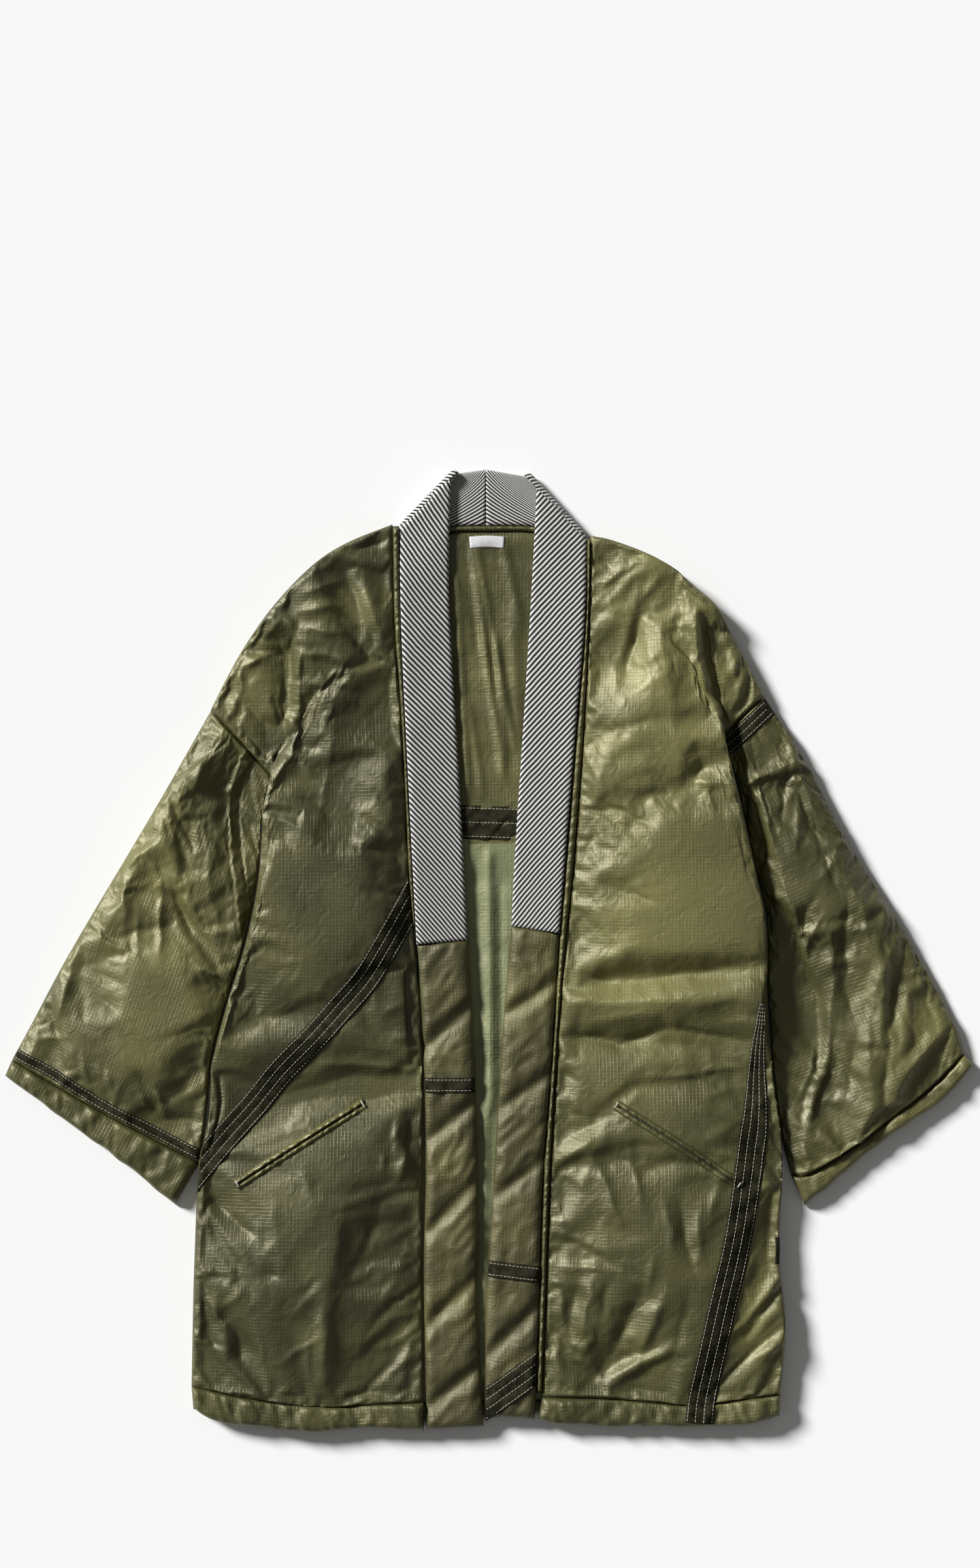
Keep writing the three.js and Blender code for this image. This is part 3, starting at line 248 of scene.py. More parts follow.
def smooth_line(points, shares):
    """Places, in millimetres, at shares of the length of a smooth line through the points."""
    p = np.array(points, float)
    p = np.vstack([2 * p[0] - p[1], p, 2 * p[-1] - p[-2]])
    dense = []
    for a, b, c, d in zip(p[:-3], p[1:-2], p[2:-1], p[3:]):
        t1 = np.linalg.norm(b - a) ** 0.5
        t2 = t1 + np.linalg.norm(c - b) ** 0.5
        t3 = t2 + np.linalg.norm(d - c) ** 0.5
        t = np.linspace(t1, t2, 25)[:-1, None]
        a1 = (t1 - t) / t1 * a + t / t1 * b
        a2 = (t2 - t) / (t2 - t1) * b + (t - t1) / (t2 - t1) * c
        a3 = (t3 - t) / (t3 - t2) * c + (t - t2) / (t3 - t2) * d
        b1 = (t2 - t) / t2 * a1 + t / t2 * a2
        b2 = (t3 - t) / (t3 - t1) * a2 + (t - t1) / (t3 - t1) * a3
        dense.append((t2 - t) / (t2 - t1) * b1 + (t - t1) / (t2 - t1) * b2)
    dense = np.vstack([*dense, p[-2:-1]])
    run = np.concatenate([[0], np.cumsum(np.linalg.norm(np.diff(dense, axis=0), axis=1))])
    at = np.clip(shares, 0, 1) * run[-1]
    return np.stack([np.interp(at, run, dense[:, 0]), np.interp(at, run, dense[:, 1])], -1)


def length_of(points):
    """The length of a smooth line through the points."""
    return float(np.linalg.norm(np.diff(smooth_line(points, np.linspace(0, 1, 200)), axis=0), axis=1).sum())


def steps(length, step, rim_start=True, rim_end=True):
    """Shares of a length a step apart, closer together at a rounded rim."""
    rim = np.array(RIM_PLACES)
    start = rim if rim_start else np.array([0.0])
    end = length - (rim if rim_end else np.array([0.0]))[::-1]
    inner = np.linspace(start[-1], end[0], max(int(round((end[0] - start[-1]) / step)), 2) + 1)
    return np.concatenate([start[:-1], inner, end[1:]]) / length


def run_shares(line):
    """Each place's share of the length of a line."""
    run = np.concatenate([[0], np.cumsum(np.linalg.norm(np.diff(line, axis=0), axis=1))])
    return run / run[-1]


def between(top, bottom, left, right):
    """A grid of places between four edges, its rows running down."""
    u_top, u_bottom = run_shares(top), run_shares(bottom)
    v_left, v_right = run_shares(left), run_shares(right)
    across = np.linspace(0, 1, len(top))[None, :]
    v = v_left[:, None] * (1 - across) + v_right[:, None] * across
    u = u_top[None, :] * (1 - v) + u_bottom[None, :] * v
    v, u = v[..., None], u[..., None]
    down = top[None] * (1 - v) + bottom[None] * v
    over = left[:, None] * (1 - u) + right[:, None] * u
    corners = (top[0] * (1 - u) + top[-1] * u) * (1 - v) + (bottom[0] * (1 - u) + bottom[-1] * u) * v
    return down + over - corners


def from_line(xy, line):
    """Distance from a line of points, the side (1 towards +X) and the share along it."""
    x, y = xy[..., 0], xy[..., 1]
    best = np.full(x.shape, 1e9)
    side, share = np.ones(x.shape), np.zeros(x.shape)
    for k, ((ax, ay), (bx, by)) in enumerate(zip(line[:-1], line[1:])):
        dx, dy = bx - ax, by - ay
        along = np.clip(((x - ax) * dx + (y - ay) * dy) / (dx * dx + dy * dy), 0, 1)
        distance = np.hypot(x - ax - along * dx, y - ay - along * dy)
        near = distance < best
        best = np.where(near, distance, best)
        side = np.where(near, np.where(dx * (y - ay) - dy * (x - ax) >= 0, 1, -1), side)
        share = np.where(near, (k + along) / (len(line) - 1), share)
    return best, side, share


def smooth(x, low, high):
    """0 up to low, 1 from high on, and an even S between them."""
    t = np.clip((x - low) / (high - low), 0, 1)
    return t * t * (3 - 2 * t)


def rolls(xy, folds):
    """Height that rolls and troughs add."""
    total = np.zeros(xy.shape[:-1])
    for x1, y1, x2, y2, width, height in folds:
        distance, _, _ = from_line(xy, [(x1, y1), (x2, y2)])
        total += height * np.exp(-(distance / width) ** 2)
    return total


def pinched(xy, creases):
    """Height that sharp creases add: each is a slightly crooked cusp that fades towards its ends."""
    total = np.zeros(xy.shape[:-1])
    wobble = waves(xy[..., 0], xy[..., 1], 13, 5) * 2.2
    for x1, y1, x2, y2, width, height in creases:
        distance, side, share = from_line(xy, [(x1, y1), (x2, y2)])
        bent = np.abs(distance * side + wobble)
        taper = 0.35 + 0.65 * np.sin(np.clip(share, 0.02, 0.98) * math.pi)
        total += 1.6 * height * taper * np.exp(-(bent / width) ** 1.25)
    return total


def lowered(xy, line, low_side, fade):
    """1 on the low side of a drop line, 0 on its high side."""
    distance, side, share = from_line(xy, line)
    start = smooth(share, 0, fade) if fade else 1
    return start * smooth(distance * side * low_side, -4, 4)


def rounded(distance, radius):
    """A quarter circle: 0 at an edge, and 1 from a radius inside it on."""
    t = np.clip(distance / radius, 0, 1)
    return np.sqrt(1 - (1 - t) ** 2)


def rim_share(xy, top=(12, 0.4), bottom=(12, 0.4), left=(8, 0.4), right=(8, 0.4)):
    """How much of the full height stands at each place: each rim has a radius and a share at its edge."""
    total = np.ones(xy.shape[:-1])
    lines = (xy[:1], xy[-1:], xy[:, :1], xy[:, -1:])
    for line, (radius, edge) in zip(lines, (top, bottom, left, right)):
        total *= edge + (1 - edge) * rounded(np.linalg.norm(xy - line, axis=-1), radius)
    return total


def waves(x, y, size, seed):
    """Smooth noise from -1 to 1 with features of a size, the same on every run."""
    table = np.random.default_rng(seed).uniform(-1, 1, (64, 64))
    u, v = x / size + 7.3, y / size + 3.1
    i, j = np.floor(u).astype(int), np.floor(v).astype(int)
    fu, fv = u - i, v - j
    fu, fv = fu * fu * (3 - 2 * fu), fv * fv * (3 - 2 * fv)
    i0, i1, j0, j1 = i % 64, (i + 1) % 64, j % 64, (j + 1) % 64
    low = table[i0, j0] * (1 - fu) + table[i1, j0] * fu
    high = table[i0, j1] * (1 - fu) + table[i1, j1] * fu
    return low * (1 - fv) + high * fv


def creases(xy, size, seed, slant=0.0, stretch=1.0):
    """Sharp-edged crumples of nylon cloth, 0 in their valleys and 1 on their edges."""
    c, s = math.cos(slant), math.sin(slant)
    x = xy[..., 0] * c + xy[..., 1] * s
    y = (-xy[..., 0] * s + xy[..., 1] * c) / stretch
    bend = 0.35 * size * waves(x, y, size * 1.7, seed + 50)
    return 1 - np.abs(waves(x + bend, y - bend, size, seed)) * 1.6


def puckers(xy, seed, depth=0.5, reach=9.0, spacing=7.0):
    """Small gathers that run in from the sewn rims of a panel."""
    total = np.zeros(xy.shape[:-1])
    edges = [(xy[:1], 0), (xy[-1:], 1), (xy[:, :1], 2), (xy[:, -1:], 3)]
    for line, k in edges:
        run = run_shares(line.reshape(-1, 2)) * np.linalg.norm(
            np.diff(line.reshape(-1, 2), axis=0), axis=1).sum()
        run = run[None, :] if k < 2 else run[:, None]
        away = np.linalg.norm(xy - line, axis=-1)
        rough = waves(run + 0 * away, 0.35 * away + 90 * k, spacing, seed + k)
        total += depth * rough * np.exp(-away / reach) * np.clip(away / 1.5, 0, 1)
    return total


def finer(grid):
    """The grid with twice the rows and columns, on smooth curves through the old points."""
    for axis in (0, 1):
        g = np.moveaxis(grid, axis, 0)
        before = np.concatenate([2 * g[:1] - g[1:2], g[:-1]])
        after = np.concatenate([g[1:], 2 * g[-1:] - g[-2:-1]])
        after2 = np.concatenate([after[1:], 2 * after[-1:] - after[-2:-1]])
        middle = (-before + 9 * g + 9 * after - after2) / 16
        out = np.empty((2 * len(g) - 1, *g.shape[1:]))
        out[::2] = g
        out[1::2] = middle[:-1]
        grid = np.moveaxis(out, 0, axis)
    return grid


def cloth_settled(grid):
    """The grid after Blender's cloth has let it grow between its sewn rims and puff up, with each
    place's position on the flat pattern after its height."""
    grid = np.dstack([grid, grid[..., :2]])
    rows, columns = grid.shape[:2]
    index = np.arange(rows * columns).reshape(rows, columns)
    faces = np.stack([index[:-1, :-1], index[1:, :-1], index[1:, 1:], index[:-1, 1:]], -1).reshape(-1, 4)
    mesh = bpy.data.meshes.new("settling")
    mesh.from_pydata((grid[..., :3].reshape(-1, 3) * MM).tolist(), [], faces.tolist())
    piece = bpy.data.objects.new("settling", mesh)
    bpy.context.scene.collection.objects.link(piece)
    held = np.zeros((rows, columns), bool)
    held[:3] = held[-3:] = True
    held[:, :3] = held[:, -3:] = True
    group = piece.vertex_groups.new(name="sewn")
    group.add(index[held].tolist(), 1.0, "REPLACE")
    cloth = piece.modifiers.new("cloth", "CLOTH")
    s = cloth.settings
    s.quality = 4
    s.mass = 0.12
    s.tension_stiffness = s.compression_stiffness = 15
    s.shear_stiffness = 5
    s.bending_stiffness = BENDING
    s.tension_damping = s.compression_damping = s.shear_damping = 5
    s.bending_damping = 0.5
    s.vertex_group_mass = "sewn"
    s.shrink_min = s.shrink_max = -GROWTH
    s.use_pressure = True
    s.uniform_pressure_force = PRESSURE
    s.effector_weights.gravity = 0
    cloth.collision_settings.use_self_collision = False
    cloth.collision_settings.use_collision = False
    cloth.point_cache.frame_start = 1
    cloth.point_cache.frame_end = FRAMES + 1
    for number in range(1, FRAMES + 1):
        bpy.context.scene.frame_set(number)
    shown = piece.evaluated_get(bpy.context.evaluated_depsgraph_get())
    result = shown.to_mesh()
    flat = np.zeros(len(result.vertices) * 3, np.float32)
    result.vertices.foreach_get("co", flat)
    shown.to_mesh_clear()
    bpy.data.objects.remove(piece)
    bpy.data.meshes.remove(mesh)
    bpy.context.scene.frame_set(1)
    return np.dstack([flat.reshape(rows, columns, 3).astype(float) / MM, grid[..., 3:]])


def cloth_run(grid):
    """Millimetres along each grid line of a flat pattern, for the weave."""
    grid = grid[..., :2]
    across = np.concatenate([np.zeros_like(grid[:, :1, 0]), np.cumsum(
        np.linalg.norm(np.diff(grid, axis=1), axis=-1), axis=1)], axis=1)
    down = np.concatenate([np.zeros_like(grid[:1, :, 0]), np.cumsum(
        np.linalg.norm(np.diff(grid, axis=0), axis=-1), axis=0)], axis=0)
    middle = across[:, across.shape[1] // 2][:, None]
    return across - middle, down


def tone_and_sheen_at(points):
    """How pale each place is painted, from 0 to 1: a random tone, plus painted sheen at the listed places."""
    xy = np.asarray(points)[:, :2]
    share = 0.3 * waves(xy[:, 0], xy[:, 1], 34, 77)
    for x, y, wide, tall, most in PAINTED_SHEEN:
        spread = ((xy[:, 0] - x) / wide) ** 2 + ((xy[:, 1] - y) / tall) ** 2
        share = share + most * np.exp(-spread)
    return np.clip(share, 0, 1)


def piece_from(name, points, faces, material, weave=None, stands_for=()):
    """A mesh object from places in millimetres, riding on the part's one body."""
    mesh = bpy.data.meshes.new(name)
    mesh.from_pydata(((np.asarray(points) + ORIGIN) * MM).tolist(), [], [list(f) for f in faces])
    mesh.update()
    mesh.shade_smooth()
    if weave is not None:
        layer = mesh.attributes.new("weave_mm", "FLOAT_VECTOR", "POINT")
        layer.data.foreach_set("vector", np.asarray(weave, np.float32).ravel())
        # each place's share of paler colour: painted sheen, with a random tone
        tone_and_sheen_share = mesh.attributes.new("tone_and_sheen", "FLOAT", "POINT")
        tone_and_sheen_share.data.foreach_set("value", tone_and_sheen_at(points).astype(np.float32))
    mesh.materials.append(material)
    made = bpy.data.objects.new(name, mesh)
    bpy.context.scene.collection.objects.link(made)
    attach(made, "root")
    if stands_for:
        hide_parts(*stands_for)
    return made


def slit_in(wall, points, loop, count, start, end, inwards, deep):
    """Opens a slit in a panel's wall, from one place of its rim to another; adds its points and faces."""
    lips = np.arange(start, end + 1)
    over, under = points[loop[lips]], points[count + lips]
    middle = (over[:, 2] + under[:, 2]) / 2
    half_gap = 0.17 * (over[:, 2] - under[:, 2])
    rings = []
    for depth, side in ((0, 1), (deep, 1), (deep, -1), (0, -1)):
        ring = over.copy()
        ring[:, :2] += depth * inwards
        ring[:, 2] = middle + side * half_gap
        rings.append(ring)
    ids = len(points) + np.arange(4 * len(lips)).reshape(4, -1)
    faces = list(wall)
    for i, r in enumerate(lips[:-1]):
        low, high = [count + r, count + r + 1], [loop[r + 1], loop[r]]
        faces[r] = [*low, ids[3, i + 1], ids[3, i]]
        for k in (3, 2, 1):
            faces.append([ids[k, i], ids[k, i + 1], ids[k - 1, i + 1], ids[k - 1, i]])
        faces.append([ids[0, i], ids[0, i + 1], *high])
    faces[start - 1][2:2] = [ids[3, 0], ids[0, 0]]
    faces[end] += [ids[0, -1], ids[3, -1]]
    faces += [ids[::-1, 0].tolist(), ids[:, -1].tolist()]
    return np.vstack([points, *rings]), faces, np.tile(loop[lips], 4)


def panel(name, grid, floor, material, lift=1.5, turn=0.0, slit=None):
    """A closed panel: the grid on top, a rim down to the floor and a flat face under it.

    lift is how far its wall stands off the floor and turn the turn of its weave. slit opens the wall
    under the last row: columns left shut at each end, and depth.
    """
    across, down = cloth_run(grid)
    if grid.shape[-1] > 3:
        c, s = math.cos(turn), math.sin(turn)
        across = grid[..., 3] * c + grid[..., 4] * s
        down = grid[..., 4] * c - grid[..., 3] * s
    grid = grid[..., :3]
    rows, columns = grid.shape[:2]
    index = np.arange(rows * columns).reshape(rows, columns)
    top = np.stack([index[:-1, :-1], index[1:, :-1], index[1:, 1:], index[:-1, 1:]], -1).reshape(-1, 4)
    loop = np.concatenate([index[:-1, 0], index[-1, :-1], index[:0:-1, -1], index[0, :0:-1]])
    flat = grid.reshape(-1, 3)
    centre = flat.mean(0)
    low = flat[loop].copy()
    low[:, 2] = floor + lift
    foot = low.copy()
    foot[:, 2] = floor
    inwards = centre[:2] - foot[:, :2]
    foot[:, :2] += FOOT_INSET * inwards / np.linalg.norm(inwards, axis=1, keepdims=True)
    count = len(flat)
    n = len(loop)
    ring = np.arange(n)
    after = (ring + 1) % n
    wall = np.stack([count + ring, count + after, loop[after], loop[ring]], -1)
    chamfer = np.stack([count + n + ring, count + n + after, count + after, count + ring], -1)
    under = [list(range(count + 2 * n - 1, count + n - 1, -1))]
    points = np.vstack([flat, low, foot])
    run = np.stack([across, down, np.zeros_like(down)], -1).reshape(-1, 3)
    run = np.vstack([run, run[loop] + [0, 0, 4], run[loop] + [0, 0, 5]])
    wall = wall.tolist()
    if slit:
        shut, deep = slit
        inwards = (grid[0] - grid[-1])[shut:columns - shut, :2]
        inwards /= np.linalg.norm(inwards, axis=1, keepdims=True)
        start, end = rows - 1 + shut, rows + columns - 2 - shut
        points, wall, lips = slit_in(wall, points, loop, count, start, end, inwards, deep)
        run = np.vstack([run, run[lips] + [0, 0, 6]])
    faces = [*top.tolist(), *wall, *chamfer.tolist(), *under]
    made = piece_from(name + "_cloth", points, faces, material, run, (name,))
    return made


def ripstop(name, base, shade, gloss, tone_and_sheen="#6c693d"):
    """Ripstop nylon taffeta: thin, tight and slightly shiny, with a raised square grid of threads."""
    m = new_material(name)
    run = node(m, "ShaderNodeAttribute", {"attribute_name": "weave_mm"})
    place = node(m, "ShaderNodeTexCoord")
    # a square grid of doubled threads, drawn 0.9 mm wide so that it shows
    split = node(m, "ShaderNodeSeparateXYZ", links={"Vector": run.outputs["Vector"]})
    lines = []
    for axis in ("X", "Y"):
        turn = node(m, "ShaderNodeMath", {"operation": "DIVIDE", 1: RIPSTOP_MM}, {0: split.outputs[axis]})
        part = node(m, "ShaderNodeMath", {"operation": "PINGPONG", 1: 0.5}, {0: turn.outputs[0]})
        lines.append(node(m, "ShaderNodeMapRange", {
            "interpolation_type": "SMOOTHSTEP", "From Min": 0.03, "From Max": 0.17, "To Min": 1.0,
            "To Max": 0.0}, {"Value": part.outputs[0]}))
    both = node(m, "ShaderNodeMath", {"operation": "MAXIMUM"}, {
        0: lines[0].outputs[0], 1: lines[1].outputs[0]})
    # the grid is raised more in some places than in others
    fade = node(m, "ShaderNodeTexNoise", {"Scale": 38.0, "Detail": 2.0}, {
        "Vector": place.outputs["Object"]})
    shown = node(m, "ShaderNodeMapRange", {"From Min": 0.35, "From Max": 0.65, "To Min": 0.1}, {
        "Value": fade.outputs[0]})
    grid = node(m, "ShaderNodeMath", {"operation": "MULTIPLY"}, {0: both.outputs[0], 1: shown.outputs[0]})
    # broad changes of tone where the cloth turns its threads to the light
    cloud = node(m, "ShaderNodeTexNoise", {"Scale": 14.0, "Detail": 3.0, "Roughness": 0.6},
                 {"Vector": place.outputs["Object"]})
    tone = node(m, "ShaderNodeMapRange", {"From Min": 0.3, "From Max": 0.7}, {"Value": cloud.outputs[0]})
    colour = node(m, "ShaderNodeMix", {"data_type": "RGBA", 6: linear(shade), 7: linear(base)},
                  {0: tone.outputs[0]})
    # paler colour mixed in at each place's share: painted sheen where the nylon catches the light, with a
    # random tone
    tone_and_sheen_share = node(m, "ShaderNodeAttribute", {"attribute_name": "tone_and_sheen"})
    with_tone_and_sheen = node(m, "ShaderNodeMix", {"data_type": "RGBA", 7: linear(tone_and_sheen)},
                {0: tone_and_sheen_share.outputs["Fac"], 6: colour.outputs[2]})
    faint = node(m, "ShaderNodeMath", {"operation": "MULTIPLY", 1: 0.08}, {0: grid.outputs[0]})
    threads = node(m, "ShaderNodeMix", {"data_type": "RGBA", 7: linear("#6f6b40")},
                   {0: faint.outputs[0], 6: with_tone_and_sheen.outputs[2]})
    # wrinkles finer than the mesh, 8 to 16 mm apart
    soft = node(m, "ShaderNodeTexNoise", {"Scale": 62.0, "Detail": 3.0, "Roughness": 0.5, "Distortion": 1.6},
                {"Vector": place.outputs["Object"]})
    crumple = node(m, "ShaderNodeBump", {"Strength": 0.6, "Distance": 0.0015}, {"Height": soft.outputs[0]})
    weave = node(m, "ShaderNodeBump", {"Strength": 0.65, "Distance": 0.00028}, {
        "Height": grid.outputs[0], "Normal": crumple.outputs[0]})
    rough = node(m, "ShaderNodeMapRange", {"To Min": gloss - 0.05, "To Max": gloss + 0.07}, {
        "Value": cloud.outputs[0]})
    return finished(m, node(m, "ShaderNodeBsdfPrincipled", {
        "IOR": 1.57, "Specular IOR Level": 0.8, "Specular Tint": linear("#fff8d6")}, {
        "Base Color": threads.outputs[2], "Roughness": rough.outputs[0], "Normal": weave.outputs[0]}))


shell_cloth = ripstop("nylon ripstop, olive, semi-gloss", SHELL_OLIVE, SHELL_SHADE, 0.50)
# the left front takes a darker copy of the same cloth: painted shade over the whole panel
painted_shade_cloth = ripstop("nylon ripstop, olive in painted shade, semi-gloss", "#3b3c22", "#2c2d18", 0.50)


def side_of_body(armhole, side, step, rows=None):
    """An armhole and the side seam under it, as one edge with about a step between places."""
    first = smooth_line(armhole, steps(length_of(armhole), step, True, False))
    rest = length_of(side)
    if rows:
        rest_step = (rest - RIM_PLACES[-1]) / (rows - len(first) - len(RIM_PLACES) + 1)
        second = smooth_line(side, steps(rest, rest_step, False, True))
    else:
        second = smooth_line(side, steps(rest, step, False, True))
    return np.vstack([first, second[1:]])


def front_grid(shoulder, hem, side, front_edge, side_on_left):
    """The places of a front between its shoulder, hem, side and front edge."""
    across = steps(FRONT_ACROSS, SIM_STEP)
    down = steps(length_of(front_edge), SIM_STEP)
    top = smooth_line(shoulder, across)
    bottom = smooth_line(hem, across) + [0, 0.15]
    edge = smooth_line(front_edge, down)
    rest = side_of_body(side[0], side[1], SIM_STEP)
    even = run_shares(rest)
    want = np.interp(np.linspace(0, 1, len(down)), np.linspace(0, 1, len(rest)), even)
    outer = np.stack([np.interp(want, even, rest[:, 0]), np.interp(want, even, rest[:, 1])], -1)
    left, right = (outer, edge) if side_on_left else (edge, outer)
    return between(top, bottom, left, right)


def front_form(xy, folds, drop, low_side, rim):
    """The height of a front before its cloth settles."""
    full = FRONT_HEIGHT + rolls(xy, folds)
    low = lowered(xy, drop, low_side, 0.25)
    return FRONT_FLOOR + (full * (1 - low) + FRONT_LOW * low) * rim_share(xy, **rim)


def limited(z, most):
    """Heights pressed softly under the most that the cloth may stand."""
    ease = 4
    over = np.clip(z - (most - ease), 0, None)
    return np.where(over > 0, most - ease + ease * np.tanh(over / ease), z)


def dressed(grid, floor, seed, hand, slant, most=CLOTH_TOP):
    """Adds the listed creases, the crumples and the seam gathers to a settled grid.

    The crumples come in three sizes, 50, 24 and 12 mm, and are strongest where the cloth is slack.
    """
    grid = finer(grid)
    xy = grid[..., :2]
    inner = rim_share(xy, *[(14, 0.1)] * 4)
    slack = 0.35 + 0.85 * smooth(waves(xy[..., 0], xy[..., 1], 95, seed + 9), -0.5, 0.6)
    crumple = (1.6 * creases(xy, 50, seed, slant, 2.6) + 0.8 * creases(xy, 24, seed + 1, slant + 0.5, 2.6)
               + 0.3 * creases(xy, 12, seed + 2, slant - 0.4, 2.2) - 0.8)
    added = inner * (pinched(xy, hand) + slack * crumple) + puckers(xy, seed + 7, 0.8)
    grid[..., 2] = np.maximum(limited(grid[..., 2] + added, most), floor + 2.2)
    return grid


left_xy = front_grid(SHOULDER_LEFT, HEM_SEAM_LEFT, (ARMHOLE_LEFT, SIDE_LEFT), FRONT_EDGE_LEFT, True)
left_z = front_form(left_xy, FOLDS_FRONT_LEFT + SWELL_FRONT_LEFT, DROP_FRONT_LEFT, -1, dict(
    top=(8, 0.5), bottom=(7, 0.55), left=(8, 0.4), right=(34, 0.35)))
left_front_grid = dressed(cloth_settled(np.dstack([left_xy, left_z])), FRONT_FLOOR, 11,
                          CREASES_FRONT_LEFT, 0.2)
front_left = panel("front_left", left_front_grid, FRONT_FLOOR, painted_shade_cloth)

right_xy = front_grid(SHOULDER_RIGHT, HEM_SEAM_RIGHT, (ARMHOLE_RIGHT, SIDE_RIGHT), FRONT_EDGE_RIGHT, False)
right_z = front_form(right_xy, FOLDS_FRONT_RIGHT + SWELL_FRONT_RIGHT, DROP_FRONT_RIGHT, 1, dict(
    top=(8, 0.5), bottom=(7, 0.55), left=(34, 0.35), right=(6, 0.55)))
right_front_grid = dressed(cloth_settled(np.dstack([right_xy, right_z])), FRONT_FLOOR, 31,
                           CREASES_FRONT_RIGHT, -0.2)
front_right = panel("front_right", right_front_grid, FRONT_FLOOR, shell_cloth)

# Back
# One panel of wadded nylon on the table, sewn round its edge to the fronts. What shows of it between
# the collar bands is its lining side, drawn into long folds that hang from the neck.
NECK = [(-96, 418), (-91, 409), (-80, 406), (-60, 408), (-36, 410.5), (0, 411), (40, 410.5), (66, 405),
        (82, 399.5), (93, 398.5), (99, 407)]
HEM_SEAM_BACK = [(-293, -428), (-236, -440), (-150, -446), (-40, -446), (60, -443), (201, -446), (285, -436)]
FOLDS_BACK = [
    (-19, 394, 13, 177, 4, 3.2), (-33, 363, -22, 164, 4, 2.4), (-12, 392, 24, 200, 3.5, 2.4),
    (-1, 93, 1, -156, 5, 3), (-15, 81, -10, -92, 4, -1.5), (22, 330, 30, 190, 6, 2),
    (2, 330, 4, 240, 4, -1.5), (10, 60, 12, -150, 4, -1.5), (-3, -150, -7, -420, 4, 1.5),
    (14, 396, 30, 320, 5, 2), (-20, 400, -12, 300, 5, -2), (-27, 35, 34, 34, 3.5, -2.2),
    (6, 300, 16, 190, 4, 2.2), (-20, 240, -8, 160, 4, 1.6)]
INSIDE_GREEN = "#747a57"
BACK_STEP = 7
NECK_COLUMNS = 76
# The lining starts below this height up the back, and shows this far to each side, in metres
LINING_TOP = 0.108
LINING_HALF = 0.075


def joined(*parts):
    """Lines end to end as one, each starting where the last one ends."""
    return np.vstack([parts[0], *[p[1:] for p in parts[1:]]])


first = steps(270, BACK_STEP, True, False)
second = np.linspace(0, 1, NECK_COLUMNS)
third = steps(245, BACK_STEP, False, True)
back_top = joined(smooth_line(SHOULDER_LEFT, first), smooth_line(NECK, second),
                  smooth_line(SHOULDER_RIGHT, third))
back_hem_shares = np.concatenate([0.41 * first, 0.41 + 0.16 * second[1:], 0.57 + 0.43 * third[1:]])
back_hem = smooth_line(HEM_SEAM_BACK, back_hem_shares)
back_left = side_of_body(ARMHOLE_LEFT, SIDE_LEFT, 6)
back_right = side_of_body(ARMHOLE_RIGHT, SIDE_RIGHT, 6, len(back_left))
back_xy = between(back_top, back_hem + [0, 0.15], back_left, back_right)
bx, by = back_xy[..., 0], back_xy[..., 1]
# inside is 1 in the opening between the fronts, which leans and narrows towards the hem, and 0 under them
away = np.abs(bx - 1 + 7 * smooth(-by, 100, 460)) / np.clip(26 + 0.05 * by, 6, 46)
inside = 1 - smooth(away, 1, 1.5)
inside_folds = rolls(back_xy, FOLDS_BACK) + 1.5 * creases(back_xy, 18, 71, 1.45, 4.0)
back_full = BACK_WALL - 2 * inside + inside * inside_folds
back_z = back_full * rim_share(back_xy, *[(9, 0.45)] * 4)
back_grid = np.dstack([back_xy, back_z, back_xy])
lining_cloth = ripstop("nylon ripstop, grey green, semi-gloss", INSIDE_GREEN, "#656b4c", 0.58, "#7d8360")
back = panel("back", back_grid, 0, shell_cloth, 2.0)
# the lower half of the inside is the greener lining
back.data.materials.append(lining_cloth)
middles = np.zeros(len(back.data.polygons) * 3, np.float32)
back.data.polygons.foreach_get("center", middles)
middles = middles.reshape(-1, 3)
below = (middles[:, 1] < LINING_TOP) & (np.abs(middles[:, 0]) < LINING_HALF)
back.data.polygons.foreach_set("material_index", below.astype(np.int32))

# Hems
# A folded band of the shell cloth, wadded, sewn along the lower edge of each front and of the back.
# Its stitches draw it in, so it puckers from seam to edge.
HEM_EDGE_BACK = [(-291, -449), (-271, -461), (-209, -469), (-160, -471), (-60, -468), (50, -458),
                 (115, -466), (213, -466), (262, -463), (284, -456)]
HEM_EDGE_LEFT = [(-291, -451), (-271, -463), (-209, -471), (-166, -474), (-131, -470), (-65, -472)]
HEM_EDGE_RIGHT = [(47, -461), (66, -466), (115, -468), (213, -468), (262, -465), (284, -458)]
HEM_HEIGHT = 11.0
HEM_LENGTH = 230
# the step between the puckered columns of hems and cuffs, and the gap at a hem's seam
BAND_STEP = 2.2
HEM_GAP = 0.15


